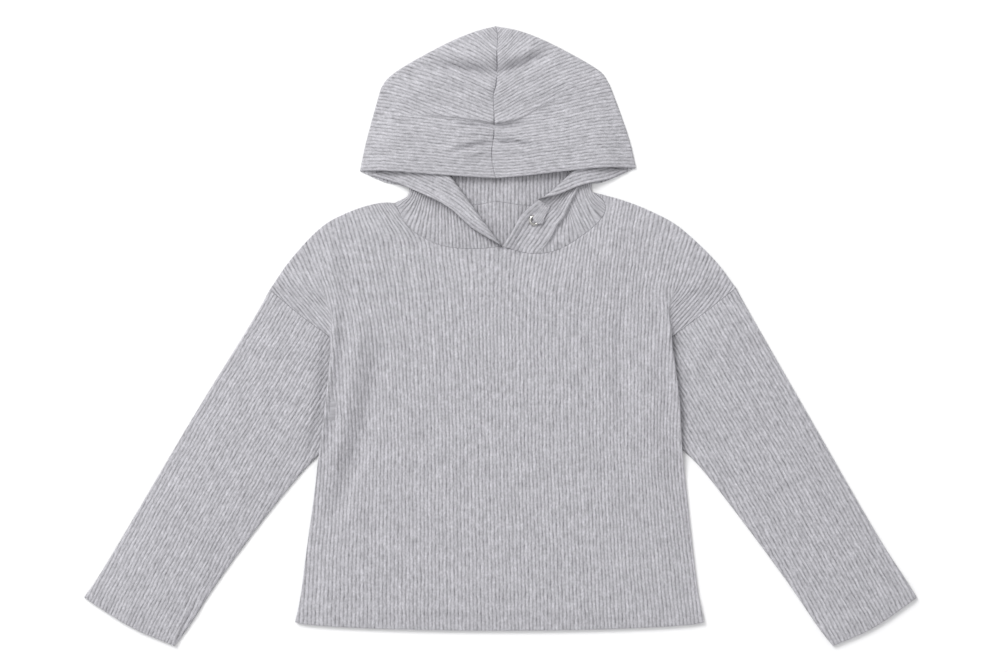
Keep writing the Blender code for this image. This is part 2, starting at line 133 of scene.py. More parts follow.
# A fold: how many points it has, how many of its widths it reaches out, the share of it over which each end
# tapers, and the place and width of the swell beside it, in its widths.
FOLD_POINTS = 9
FOLD_REACH = 3
FOLD_TAPER = 0.35
SHOULDER_OUT = 2.4
SHOULDER_WIDTH = 1.3
# The rounded lip along the high side of a crease, in millimetres.
LIP = 1.3
LIP_ROUNDING = 0.7
# Tiny amounts: the share of its rise that a crease keeps at its ends, the least that a row's count rises
# between two samples, and how close two points are when the triangulation takes them as one.
END_NUDGE = 1e-6
COUNT_NUDGE = 1e-9
MERGE_DISTANCE = 1e-7
# The share of each face's square in the bake map that stays clear at its edge.
CHART_MARGIN = 0.01
# The eight directions in plan in which a lower face looks for troughs.
DIRECTIONS = [np.array([math.cos(turn), math.sin(turn)]) for turn in np.arange(8) * math.pi / 4]
# Waves over the plan: their size, their length along X and along Y, and their phase.
STRAYS = [
    (0.050, 0.113, 0.067, 0.0),
    (0.030, -0.037, 0.029, 1.3),
    (0.045, 0.0137, 0.019, 4.1),
    (0.035, -0.0111, 0.0127, 2.2),
]
EDGE_STRAY = 0.5
# How deep the ribs are as a share of their full depth: the mean, and pairs of waves round it.
PATCH_MEAN = 0.80
PATCHES = [
    (0.11, (0.043, 0.071, 0.7), (-0.098, 0.033)),
    (0.10, (0.019, -0.026, 2.9), (0.031, 0.017)),
]

LEFT, RIGHT = -1, 1

# Each row is one place on an edge, in millimetres: its distance out from the middle line and its height, on
# each side. An edge that meets another one takes the place where they meet from it.
Place = namedtuple("Place", "name left_out left_y right_out right_y")

BODY_SIDE = [
    Place("hem corner", 245.5, -343.5, 244.5, -343.5),
    Place("hem stitching", 239, -312, 238, -312),
    Place("hip", 231.5, -254, 230.5, -254),
    Place("waist", 223.5, -197, 224.5, -197),
    Place("underarm", 217, -143, 218, -136),
]
PLEAT = BODY_SIDE[-1:] + [
    Place("lower pleat", 210, -89, 215, -77),
    Place("upper pleat", 204, -30, 208.5, -25),
    Place("armhole crossing", 203, -2, 206, -1),
]
ARMHOLE_TUCKED = BODY_SIDE[-1:] + [
    Place("tucked curve", 201, -128, 203, -122),
    Place("tucked middle", 186, -80, 190, -76),
    Place("tucked top", 188, -33, 191, -31),
] + PLEAT[-1:]
ARMHOLE = PLEAT[-1:] + [
    Place("armhole middle", 240, 25, 242, 25),
    Place("shoulder tip", 276, 55, 283, 57),
]
SHOULDER = ARMHOLE[-1:] + [
    Place("shoulder cap", 251, 91, 256, 92),
    Place("shoulder bend", 214, 130, 215, 130),
    Place("shoulder slope", 179, 149, 181, 149),
    Place("shoulder hollow", 145, 159, 148, 162),
    Place("neck point", 126.5, 159, 111, 172.2),
]
FRONT_NECK = SHOULDER[-1:] + [
    Place("neck pucker", 121.5, 150, 124.5, 161),
    Place("neck side", 116.5, 139.5, 125, 146),
    Place("neck turn", 102, 124, 108, 127),
    Place("neck front", 70, 108, 70, 103),
    Place("neck low", 30, 104, 35, 98.5),
    Place("neck middle", -2.5, 107, 2.5, 107),
]
BACK_NECK = SHOULDER[-1:] + [
    Place("back neck side", 86, 155, 86, 158),
    Place("back neck low", 34, 156, 34, 156),
    Place("back neck middle", 5, 161, -5, 161),
]
SLEEVE_OUTER = ARMHOLE[-1:] + [
    Place("upper arm", 299, 14, 307, 14),
    Place("elbow", 370, -101, 373, -101),
    Place("forearm", 449, -235, 450, -235),
    Place("cuff stitching", 484, -293, 487, -293),
    Place("cuff outer corner", 499, -314, 500, -314),
]
CUFF = SLEEVE_OUTER[-1:] + [
    Place("cuff middle", 443, -349, 448, -350),
    Place("cuff inner corner", 390, -372, 399, -372),
]
SLEEVE_INNER = CUFF[-1:] + [
    Place("cuff seam", 372, -347, 380.5, -348),
    Place("inner forearm", 337, -293, 343, -293),
    Place("inner elbow", 280, -216, 286, -216),
    Place("inner upper arm", 240, -167, 243, -161),
] + BODY_SIDE[-1:]
NECK_SIDE = SHOULDER[-1:] + [
    Place("neck notch", 111, 167.2, 109.7, 176.5),
    Place("neck edge", 109, 176.2, 110, 181.2),
]
HOOD_LOWER_EDGE = NECK_SIDE[-1:] + [
    Place("lower edge start", 121, 180.6, 122.5, 183.5),
    Place("lower edge", 138, 183.8, 137.5, 189.3),
    Place("hood corner", 168, 197, 163, 201),
]
HOOD_FRONT_EDGE = HOOD_LOWER_EDGE[-1:] + [
    Place("front edge side", 143, 197, 114, 200),
    Place("front edge", 58, 191, 41, 192),
    Place("front edge middle", 5, 188, -5, 188),
]
HOOD_SIDE = HOOD_LOWER_EDGE[-1:] + [
    Place("hood lower side", 161, 230, 155, 235),
    Place("hood upper side", 148, 278, 140, 278),
    Place("hood shoulder", 139, 303, 128, 307),
]
HOOD_TOP = HOOD_SIDE[-1:] + [
    Place("hood rise", 116, 322, 113, 322),
    Place("hood slope", 65, 350, 62, 350),
    Place("hood brow", 29, 365, 25, 365),
    Place("hood crown", 5, 371, -5, 371),
]
TURN_FOLD = [
    Place("turn start", -2.5, 107, 46, 163),
    Place("turn middle", 28, 149, 61, 173),
    Place("turn at front edge", 58, 190, 80, 191),
    Place("turn end", 80, 214, 95, 208),
]
TURN_FREE_EDGE = TURN_FOLD[:1] + [
    Place("free edge low", 33, 128, 71, 169),
    Place("free edge middle", 63, 154, 92, 178),
    Place("free edge high", 103, 173.8, 111, 183),
    Place("free edge side", 123, 182.2, 130, 187.2),
    Place("free edge end", 156, 192.5, 153, 197.5),
]
PLAIN_EDGE = FRONT_NECK[-1:] + [
    Place("plain edge low", -2.5, 107, 15, 126),
    Place("plain edge middle", -2.5, 107, 26, 145),
] + TURN_FOLD[:1]
NECK_PANEL_TOP = TURN_FOLD[-1:] + NECK_SIDE[-1:]

# Where chosen ribs run: their numbers, and their places on lines across them, in millimetres. Each line is
# given by its height, or on the hood by its distance out from the middle.
Guide = namedtuple("Guide", "numbers rows")
FRONT_RIBS = Guide((-50, -38, -25, -17, -10, 0, 10, 17, 25, 38, 50), {
    -345: (-226, -168, -108, -72, -40.5, 5, 48.7, 80, 116, 174, 229),
    -260: (-222, -167, -108, -72.5, -41.5, 3, 47, 77.5, 112.5, 167, 220),
    -200: (-217, -165.5, -108.5, -73, -42.5, 1.5, 45, 75.5, 110, 163.5, 213),
    -140: (-213.5, -163.8, -108.5, -73, -43, 0, 43, 73.2, 108, 161.5, 208),
    -60: (-217, -166, -111, -75, -44.5, -1.5, 41.8, 72, 107, 161, 209.5),
    0: (-222, -170, -114.3, -77.5, -46.5, -3, 40.8, 71.3, 106, 160.5, 211.7),
    30: (-227, -175, -117.5, -79.5, -48, -3, 41, 71.8, 107, 161.5, 214),
    60: (-232.6, -183, -121, -82, -50, -2.5, 42.5, 74, 110, 163.5, 212.9),
    66: (-235.8, -184.3, -121.9, -82.8, -50.8, -2.3, 43.4, 74.9, 110.5, 164, 214.8),
    90: (-247.3, -190.5, -125.5, -86.5, -54.5, -1.5, 47.5, 79, 112.8, 166.8, 222),
    120: (-262.2, -199, -131, -93, -59, -1, 54, 85, 116, 170.6, 231.6),
    140: (-273, -203, -141, -110, -75, 0, 65, 93, 119, 173.5, 238),
    160: (-283.8, -207, -152, -126, -92, 0, 80, 104, 123, 177, 244),
})
LEFT_SHOULDER_RIBS = Guide((-59.9, -56.1, -51.1, -45.5), {
    -30: (-209, -190, -167, -145),
    0: (-233, -214, -191, -169),
    30: (-258, -239, -215.5, -193),
    60: (-282, -264, -240, -214),
    66: (-286, -268, -244, -216.5),
    90: (-301, -282.6, -257.5, -226),
    120: (-320, -299, -273, -238.5),
    140: (-332, -310, -283, -246.7),
    160: (-345, -322, -294, -255),
})
RIGHT_SHOULDER_RIBS = Guide((49.3, 54.8, 59.7, 65.3), {
    -30: (133, 155, 182, 212),
    0: (160.5, 182, 208.5, 238.5),
    30: (187.5, 210, 235.5, 265),
    60: (210, 234, 258, 286),
    66: (211.8, 237.2, 261, 289),
    90: (218.8, 247.3, 270.6, 300),
    120: (228, 257, 281, 311),
    140: (234.2, 263, 288, 318),
    160: (240.1, 269, 294, 325),
})
# The hood's ribs are numbered up from its front edge, under and over the crease that crosses it.
HOOD_LOWER_RIBS = Guide((0, 9.2, 18.4, 27.6), {
    -170: (197, 235, 276, 316),
    -150: (197, 233.5, 273, 312),
    -120: (195.5, 230.5, 268, 305),
    -85: (193, 227.5, 263.5, 298),
    -55: (190.8, 224, 259.5, 294),
    -25: (189.2, 222, 256.5, 290),
    0: (188, 221, 254, 288),
    25: (190.2, 223, 256.5, 291),
    50: (193, 226.5, 260, 295),
    80: (196.5, 231, 265.5, 301),
    120: (200.2, 237, 275, 313.5),
    145: (201, 239, 278.5, 318),
    165: (201, 240, 281, 322),
})
HOOD_UPPER_RIBS = Guide((18.4, 27.6, 36.8, 46, 55.2), {
    -170: (276, 316, 358, 399, 440),
    -150: (273, 312, 354, 395, 436),
    -120: (268, 305, 347, 388, 429),
    -85: (254.5, 294, 336.5, 380, 423),
    -55: (243, 283.5, 324, 370, 418),
    -25: (233, 272.5, 311, 353, 396),
    0: (226, 264, 299.5, 336, 371),
    25: (237, 275.5, 314, 357, 401),
    50: (248.5, 287, 327, 375, 425),
    80: (262.5, 300.5, 340, 388, 433),
    120: (275, 313.5, 353.5, 399, 442),
    145: (278.5, 318, 359, 401, 443),
    165: (281, 322, 363, 405, 447),
})
LEFT_NECK_RIBS = Guide((-27.7, -25.5, -22.4, -20.2, -18, -12, -4), {
    100: (-150, -132, -108, -93, -78, -52, -17),
    120: (-147, -123, -101, -90, -77.3, -52.5, -20),
    135: (-139, -114, -97, -87.5, -77, -54, -23),
    150: (-120, -105, -93.5, -85, -76.7, -55.5, -25.5),
    165: (-106, -99, -90, -83, -76, -56, -27.5),
    180: (-101, -95, -87, -81, -75, -56.5, -29),
})
RIGHT_NECK_RIBS = Guide((-12, -8, -4, -0.6, 2.8, 5.3, 6.9, 8.7), {
    100: (44, 61, 79.5, 98, 121, 133, 158, 168),
    125: (43.5, 60.5, 77.5, 94, 110.3, 121, 150, 158),
    145: (45, 62, 79.5, 86, 100.4, 110.7, 127.5, 137),
    155: (42, 59, 76, 82.3, 95.3, 106.3, 113.5, 122),
    165: (39, 56, 73, 79, 91, 102.6, 106.7, 112.5),
    180: (35, 52, 69, 75, 87.5, 97.5, 101.5, 106),
})

# The sleeves' ribs: their pitch and how far they bend in at the cuff, in millimetres, and their depth.
SleeveRibs = namedtuple("SleeveRibs", "pitch bend strength")
SLEEVE_RIBS = {LEFT: SleeveRibs(4.08, 14.0, 0.72), RIGHT: SleeveRibs(4.26, -4.0, 0.95)}
SLEEVE_SPREAD = 0.03
SLEEVE_STRAY = 1.6
# The ribs of the hood's turned edge: their direction in degrees, their pitch and their depth.
EdgeRibs = namedtuple("EdgeRibs", "turn pitch strength")
TURNED_RIBS = {LEFT: EdgeRibs(61, 0.0036, 0.65), RIGHT: EdgeRibs(107, 0.0041, 0.9)}

# The hood's ribs: their depth, how far they stray, and within what reach of the middle seam they run
# straight, at the slope found over a step.
HOOD_STRENGTH = 0.5
HOOD_STRAY = 1.6
POINT_REACH = 0.014
POINT_STEP = 0.004
# The neck's ribs: how many lie across the band, by how much their count jumps at its crease, and the band's
# direction in degrees.
LEFT_NECK_STRENGTH = 1.2
BAND_RIBS = 9.4
BAND_JUMP = 22.0
BAND_TURN = -20.0

# Lines where one run of ribs disappears under another, in millimetres. An upright line's places give its
# height first.
LEFT_PLEAT_CREASE = (
    (-30, 204), (-2, 203), (12, 201), (25, 202), (37, 206), (50, 211), (60, 214), (66, 216.5), (90, 226),
    (120, 238.5), (140, 246.7), (160, 255),
)
RIGHT_PLEAT_CREASE = (
    (-30, 207), (-1, 206), (13, 204.5), (25, 202.5), (37, 203.5), (50, 207.5), (60, 210), (66, 211.8),
    (90, 218.8), (120, 228), (140, 234.2), (160, 240.1),
)
PLEAT_CREASE_START, PLEAT_CREASE_END = -4, 55
SHOULDER_START = -20
SMILE_CREASE = (
    (-170, 268.5), (-120, 264.5), (-85, 263), (-55, 261), (-25, 257), (0, 254), (24, 260), (48, 273),
    (72, 286), (85, 291), (120, 299), (165, 306),
)
SMILE_START, SMILE_END = -115, 85
BAND_CREASE = (
    (98, 46), (106, 53), (118, 61.5), (131, 68), (142, 76.5), (159, 84.5), (174, 92.5), (186, 98),
)
# Spots where the ribs are pressed flat, in millimetres, with the share of their depth that is lost.
Smooth = namedtuple("Smooth", "centre reach share")
BAND_SMOOTH = [Smooth((51, 137), (8, 5), 0.6)]
BODY_SMOOTH = [
    Smooth((131, 152), (7, 9), 0.8),
    Smooth((106, 118), (9, 8), 0.5),
    Smooth((-128, 150), (5, 5), 0.4),
]

# Creases whose one side stands over the other: the rise and the drop at the crease and how far they reach,
# in millimetres, and the share of the crease's length over which each end tapers.
Ledge = namedtuple("Ledge", "rise drop reach start end")
PLEAT_LEDGE = Ledge(1.2, 1.2, 7.0, 0.1, 0.6)
BAND_LEDGE = Ledge(3.4, 1.6, 6.0, 0.3, 0.05)
SMILE_LEDGE = Ledge(1.5, 1.1, 9.0, 0.35, 0.45)

# Soft troughs and ridges, each along a bend through three places, in millimetres. A trough is negative.
Fold = namedtuple("Fold", "name x1 y1 x2 y2 x3 y3 height width shoulder", defaults=[0.0])

# The eyelet and the tongue of cloth through it, in millimetres.
Ring = namedtuple("Ring", "hole outer height dome sides")
EYELET_RING = Ring(3.1, 6.7, 5.9, 1.9, 48)
RING_ANGLES = tuple(math.radians(a) for a in (-20, 0, 22, 45, 68, 90, 112, 135, 158, 180, 200))
TONGUE_OUTLINE = (
    (39.4, 141.6), (41.4, 136.6), (45.4, 133.4), (50.2, 133.6), (52.6, 136.6), (53.6, 140.6), (56.4, 146.8),
    (59.6, 152.4), (59.4, 155.6), (55.8, 158.0), (52.0, 158.6), (48.6, 154.8), (43.8, 148.4),
)
TONGUE_END = (55.0, 157.4)
TONGUE_HIGH, TONGUE_LOW = 5.6, 4.4
TONGUE_FALL_START, TONGUE_FALL = 0.15, 0.7
TONGUE_THICKNESS = 0.0028
TONGUE_CROWN, TONGUE_CROWN_REACH = 0.0005, 0.004
TONGUE_STEP = 0.0012
TONGUE_PITCH = 0.0023
TONGUE_STRENGTH = 0.3
TONGUE_COLUMNS, TONGUE_ROW, TONGUE_COARSE = 4, 0.0007, 0.003

# The opening of the neck, where the inside of the back shows.
OPENING = ((-70, 100), (60, 100), (90, 200), (-110, 200))
OPENING_PITCH = 0.0045
OPENING_STRENGTH = 1.25
HOOD_BACK_CENTRE = (0.150, 0.175)
HOOD_BACK_REACH = 0.120

# The cloth's look: its colour, how much darker its grooves are painted to stand in for the shade that falls
# in them, and the least and most share of that painted shade from place to place.
KNIT_COLOUR = (0.490, 0.484, 0.512)
KNIT_LOOK = {"Roughness": 0.95, "Specular IOR Level": 0.2, "Sheen Weight": 0.12, "Sheen Roughness": 0.5}
GROOVE_PAINTED_SHADE = 0.36
GROOVE_SHADE_SHARPNESS = 1.5
GROOVE_SHADE_SHARES = (0.2, 1.8)
GROOVE_SHADE_SCALE = (0.9, 0.45, 1.0)
# The values between which most of a noise lies.
NOISE_LOW, NOISE_HIGH = 0.3, 0.7
NOISE_ROUGHNESS = 0.6
# Layers of flecks: how many across a rib and along one pitch of it, their detail and their strength.
FLECKS = [
    (1.0, 0.50, 2.0, 0.13),
    (2.4, 1.50, 2.0, 0.15),
    (1.0, 0.10, 1.0, 0.06),
    (0.20, 0.20, 2.0, 0.05),
]
FLECK_ROUGHNESS = 0.55
STITCHES_A_PITCH = 2.0
STITCH_LEAN = 1.3
STITCH_HEIGHT = 0.3
FUZZ_SCALE = (3.2, 2.4, 1.0)
FUZZ_HEIGHT = 2.0
KNIT_BUMP = {"Strength": 0.5, "Distance": 0.0006}
METAL_LOOK = {"Base Color": (0.56, 0.55, 0.53, 1.0), "Metallic": 1.0}
SCRATCH_SCALE = (900.0, 900.0, 200.0)
SCRATCHED = (0.10, 0.24)
FLOOR_LOOK = {"Base Color": (0.95, 0.95, 0.95, 1.0), "Roughness": 0.9}
FLOOR_HALF = 12.0
FLOOR_GAP = 0.0002

# Light and camera. The dome's light goes from the horizon's to the zenith's along its axis. Lamps are
# (name, place, width, power).
HORIZON, ZENITH = 0.80, 0.60
DOME_AXIS = (-0.16, 0.20, 0.966)
DOME_TOP = 0.9
DOME_COLOUR = (0.985, 0.985, 1.0, 1.0)
LAMPS = [
    ("key", (-0.55, 0.30, 2.1), 1.0, 5.0),
    ("side", (-3.6, 4.4, 5.4), 3.6, 400.0),
]
SENSOR = 36.0
LENS = 85.0
FRAME_WIDTH = 1.2096
FRAME_MIDDLE_X = 0.0043

# The cut of what shows of each piece, and the pieces that it rests on.
Flat = namedtuple("Flat", "size rests_on")
FLAT_SIZES = {
    "back_panel": Flat((0.57, 0.53), []),
    "front_panel": Flat((0.57, 0.53), ["back_panel_knit"]),
    "sleeve_left": Flat((0.34, 0.47), []),
    "sleeve_right": Flat((0.34, 0.47), []),
    "hood_left": Flat((0.30, 0.42), []),
    "hood_right": Flat((0.30, 0.42), []),
}

# Lifts that every layer beside the neck opening shares.
OPENING_FOLDS = [
    Fold("tip of the opening", -20, 126, 2, 98, 24, 126, 2.2, 8.0),
]
BODY_FOLDS = [
    Fold("left pleat swell", -192, 90, -203, -40, -234, -205, 7.4, 8.0),
    Fold("right pleat swell", 192, 80, 208, -40, 236, -200, 6.4, 8.0),
    Fold("left drape ridge", -166, 80, -182, -70, -224, -250, 5.0, 12.0),
    Fold("left drape valley", -134, 50, -156, -80, -212, -270, -5.4, 12.0),
    Fold("left chest hollow", -180, 150, -186, 80, -190, 0, -3.0, 9.0),
    Fold("right drape ridge", 176, 80, 172, -50, 190, -180, 1.6, 12.0),
    Fold("right drape valley", 147, 60, 143, -45, 156, -150, -3.4, 9.0),
    Fold("neck pucker", 111, 172, 122, 166, 130, 158, 1.2, 2.4),
    Fold("neck hollow", 126, 165, 134, 154, 134, 142, -0.9, 5.0),
    Fold("left neck hollow", -135, 158, -131, 148, -124, 138, -0.7, 4.0),
    Fold("below the opening", -60, 100, 0, 92, 60, 94, 1.0, 9.0),
]
SLEEVE_FOLDS = {
    LEFT: [
        Fold("under the left pleat", -203, 60, -210, -60, -236, -200, -3.2, 9.0),
        Fold("inner cuff crease", -362, -314, -377, -348, -392, -380, -2.6, 2.4, 0.5),
    ],
    RIGHT: [Fold("under the right pleat", 206, 60, 217, -60, 236, -200, -3.4, 10.0)],
}
LEFT_NECK_FOLDS = [
    Fold("left pucker", -117, 163, -108, 158, -100, 152, 0.8, 2.6),
    Fold("left pucker hollow", -110, 174, -108, 166, -106, 158, -1.0, 1.8),
    Fold("under the left lapel", -110, 176, -74, 156, -26, 124, -1.6, 6.0),
]
RIGHT_NECK_FOLDS = [
    Fold("right pucker", 106, 172, 116, 164, 124, 152, 0.9, 2.4),
    Fold("beside the band", 84, 152, 92, 140, 96, 124, 0.7, 5.0),
    Fold("opening edge", -10, 82, 26, 144, 54, 178, 7.0, 8.0),
    Fold("pocket under the strip", 56, 166, 74, 172, 96, 180, -1.8, 4.0),
]
TURNED_FOLDS = [
    Fold("left lapel roll", 14, 82, -32, 150, -67, 206, 6.6, 11.0),
    Fold("left lapel edge", 22, 98, -66, 156, -132, 188, 5.2, 7.0),
    Fold("right strip roll", 28, 148, 62, 176, 82, 200, 5.0, 8.0),
    Fold("right strip edge", 34, 158, 76, 172, 128, 192, 3.4, 7.0),
]
TONGUE_FOLDS = [
    Fold("first stitch", 49.6, 158.6, 52.4, 155.6, 55.2, 152.6, -2.0, 1.1),
    Fold("second stitch", 53.2, 159.0, 56.0, 156.0, 58.8, 153.0, -2.0, 1.1),
    Fold("third stitch", 49.8, 154.2, 54.0, 155.8, 58.2, 157.4, -1.8, 1.0),
]
# The seam down the middle of the hood's front, from the crown to the edge.
HOOD_MIDDLE_SEAM = (
    (-5, 371), (-2.6, 359), (-3.6, 342), (-3.4, 318), (-4.8, 299), (-8, 288), (-7, 268), (-7.2, 240),
    (-9.6, 225), (-9.2, 206), (-5, 188),
)
HOOD_FOLDS = [
    Fold("casing crease left", -62, 216, -28, 227.5, 0, 228.5, -3.4, 3.2, 0.6),
    Fold("casing crease right", -12, 230, 12, 230.5, 44, 225, -3.4, 3.2, 0.6),
    Fold("casing stitches left", -140, 232, -80, 229, -30, 225, -0.8, 1.2),
    Fold("casing stitches right", 20, 228, 70, 232, 130, 237, -0.8, 1.2),
    Fold("left corner swell", -170, 206, -128, 204, -84, 200, 1.6, 14.0),
    Fold("right corner swell", 84, 200, 124, 206, 164, 208, 1.6, 14.0),
    Fold("under the smile", -76, 258, -8, 249.5, 54, 258, -2.6, 3.2, 0.6),
    Fold("crown ridge", -88, 338, -8, 336, 66, 356, 3.8, 12.0),
    Fold("brow crease left", -96, 328, -40, 318, 10, 311, -5.2, 6.0, 0.4),
    Fold("brow crease right", -20, 311, 22, 322, 68, 344, -5.4, 6.0, 0.4),
    Fold("below the brow", -64, 294, 16, 292, 78, 316, 2.6, 11.0),
    Fold("left drape", -105, 300, -60, 282, -14, 268, 2.2, 9.0),
    Fold("right drape", 14, 276, 50, 292, 100, 312, 2.2, 9.0),
    Fold("middle seam pull", -4, 362, -5, 310, -8, 262, -1.3, 3.5),
]


def add_object(name, data):
    made = bpy.data.objects.new(name, data)
    bpy.context.scene.collection.objects.link(made)
    return made


def set_inputs(node, values):
    for name, value in values.items():
        node.inputs[name].default_value = value


def smooth_step(amount):
    amount = np.clip(amount, 0.0, 1.0)
    return amount * amount * (3 - 2 * amount)


def knots(table, side):
    """The places of one side of a table, as plan points."""
    if side == LEFT:
        return np.array([(-place.left_out, place.left_y) for place in table]) * MM
    return np.array([(place.right_out, place.right_y) for place in table]) * MM


def smooth_line(points, step):
    """A smooth line through plan points, with a point about every step."""
    ends = np.vstack([2 * points[0] - points[1], points, 2 * points[-1] - points[-2]])
    line = [points[0]]
    for before, start, end, after in zip(ends, ends[1:], ends[2:], ends[3:]):
        pieces = max(1, round(np.linalg.norm(end - start) / step))
        for t in np.arange(1, pieces + 1) / pieces:
            line.append(
                0.5 * (2 * start + (end - before) * t
                       + (2 * before - 5 * start + 4 * end - after) * t ** 2
                       + (3 * start - before - 3 * end + after) * t ** 3)
            )
    return np.array(line)


def smooth_closed(points, step):
    """A smooth closed line through plan points, without a second first point."""
    count = len(points)
    around = smooth_line(points[np.arange(-2, count + 3) % count], step)
    nearest = np.flatnonzero(np.linalg.norm(around - points[0], axis=1) < SAME_POINT)
    return around[nearest[0]:nearest[-1]]


def edge(table, side, step=EDGE_STEP):
    return smooth_line(knots(table, side), step)


def hem_line():
    """The bottom edge of the body, from the left corner to the right one."""
    left, right = knots(BODY_SIDE, LEFT)[0], knots(BODY_SIDE, RIGHT)[0]
    pieces = round((right[0] - left[0]) / EDGE_STEP)
    along = np.linspace(-1.0, 1.0, pieces + 1)
    x = left[0] + (along + 1) / 2 * (right[0] - left[0])
    y = left[1] - HEM_SAG * (1 - along ** 2) ** HEM_ROUNDNESS
    return np.column_stack([x, y])


def signed_area(outline):
    following = np.roll(outline, -1, axis=0)
    return np.sum(outline[:, 0] * following[:, 1] - outline[:, 1] * following[:, 0]) / 2


def joined(*lines):
    """One outline from lines that follow each other end to end, anticlockwise seen from above."""
    outline = np.vstack(lines)
    keep = np.linalg.norm(outline - np.roll(outline, 1, axis=0), axis=1) > SAME_POINT
    outline = outline[keep]
    return outline if signed_area(outline) > 0 else outline[::-1]


def closed_line(outline):
    return np.vstack([outline, outline[:1]])


def inset(outline, distance):
    """The outline moved in by a distance for each of its points, with mitred corners."""
    along = np.roll(outline, -1, axis=0) - outline
    along /= np.linalg.norm(along, axis=1, keepdims=True)
    inward = np.column_stack([-along[:, 1], along[:, 0]])
    before = np.roll(inward, 1, axis=0)
    spread = np.maximum(1 + np.sum(inward * before, axis=1, keepdims=True), SHARPEST_MITRE)
    return outline + np.reshape(distance, (-1, 1)) * (inward + before) / spread


def nearest_on_line(points, line):
    """Each plan point's distance from a line, and how far along the line, from 0 to 1, it is nearest."""
    start, along = line[:-1], np.diff(line, axis=0)
    lengths = np.linalg.norm(along, axis=1)
    before = np.concatenate([[0.0], np.cumsum(lengths)])
    distance, share_along = np.empty(len(points)), np.empty(len(points))
    for first in range(0, len(points), POINTS_AT_ONCE):
        part = slice(first, first + POINTS_AT_ONCE)
        offset = points[part, None, :] - start[None, :, :]
        share = np.clip(np.einsum("ijk,jk->ij", offset, along) / lengths ** 2, 0, 1)
        offset -= share[:, :, None] * along
        squared = np.einsum("ijk,ijk->ij", offset, offset)
        nearest = squared.argmin(axis=1)
        rows = np.arange(len(nearest))
        distance[part] = np.sqrt(squared[rows, nearest])
        share_along[part] = (before[nearest] + share[rows, nearest] * lengths[nearest]) / before[-1]
    return distance, share_along


def distance_to_line(points, line):
    return nearest_on_line(points, line)[0]


def inside(points, outline):
    """Whether each plan point is inside the outline."""
    x, y = points[:, :1], points[:, 1:]
    x1, y1 = outline[:, 0], outline[:, 1]
    x2, y2 = np.roll(outline, -1, axis=0).T
    rise = np.where(y2 == y1, 1.0, y2 - y1)
    crosses = ((y1 > y) != (y2 > y)) & (x < (x2 - x1) * (y - y1) / rise + x1)
    return crosses.sum(axis=1) % 2 == 1


def crown_of(outline, height, reach):
    """Cloth that lies low along its outline and stands height off what is under it beyond reach."""
    line = closed_line(outline)
    return lambda points: height * smooth_step(distance_to_line(points, line) / reach)


def flat(height):
    return lambda points: np.full(len(points), height)


def total(*shapes):
    return lambda points: sum(shape(points) for shape in shapes)


def lifted(under, thickness, *shapes, clear=flat(0.0)):
    """The two faces of a wall with shapes raised or pressed into it.

    The lower face goes down only as far as it is clear of what lies beneath, and the upper one stays the
    thinnest wall above that. The lower face has few points, so near a trough it takes the lowest place in
    reach.
    """
    lift = total(*shapes)

    def lower(points):
        here = lift(points)
        around = [
            lift(points + reach * way) for way in DIRECTIONS for reach in (COARSE_STEP / 2, COARSE_STEP)
        ]
        least = np.minimum.reduce([here, *around])
        return under(points) + np.maximum(np.where(least < 0, least, here), -clear(points))

    def upper(points):
        least = np.maximum(lift(points), -clear(points)) + THINNEST_WALL
        return under(points) + np.maximum(thickness(points) + lift(points), least)
    return lower, upper


def hem_thickness(hem):
    """Plain cloth, thicker where the hem is turned up."""
    def thickness(points):
        near = 1 - smooth_step((distance_to_line(points, hem) - HEM_DEPTH) / HEM_FADE)
        return CLOTH + HEM_EXTRA * near
    return thickness


def near_line(points, line, reach):
    """Which points are in the box round a line, widened by reach."""
    return np.all((points > line.min(axis=0) - reach) & (points < line.max(axis=0) + reach), axis=1)


def folds(table):
    """The height that a table of troughs and ridges adds. Each one tapers to nothing at its ends."""
    lines = []
    t = np.linspace(0, 1, FOLD_POINTS)[:, None]
    for fold in table:
        start, middle, end = np.array(fold[1:7]).reshape(3, 2) * MM
        bend = 2 * middle - (start + end) / 2
        lines.append((1 - t) ** 2 * start + 2 * t * (1 - t) * bend + t ** 2 * end)

    def height(points):
        added = np.zeros(len(points))
        for fold, line in zip(table, lines):
            near = near_line(points, line, FOLD_REACH * fold.width * MM)
            if near.any():
                distance, along = nearest_on_line(points[near], line)
                taper = smooth_step(along / FOLD_TAPER) * smooth_step((1 - along) / FOLD_TAPER)
                across = distance / (fold.width * MM)
                profile = np.exp(-across ** 2)
                profile -= fold.shoulder * np.exp(-((across - SHOULDER_OUT) / SHOULDER_WIDTH) ** 2)
                added[near] += fold.height * MM * taper * profile
        return added
    return height


def ledge(line, is_high, shape):
    """The height that a crease adds on its high side and takes off on its low one."""
    def height(points):
        added = np.zeros(len(points))
        near = near_line(points, line, FOLD_REACH * shape.reach * MM)
        if near.any():
            distance, along = nearest_on_line(points[near], line)
            start, end = (along + END_NUDGE) / shape.start, (1 - along + END_NUDGE) / shape.end
            fall = np.exp(-(distance / (shape.reach * MM)) ** 2)
            raised = shape.rise * fall - LIP_ROUNDING * np.exp(-(distance / (LIP * MM)) ** 2)
            profile = np.where(is_high(points[near]), raised, -shape.drop * fall)
            added[near] = MM * (smooth_step(start) * smooth_step(end)) * profile
        return added
    return height


# --- How the ribs run ---------------------------------------------------------------------------------


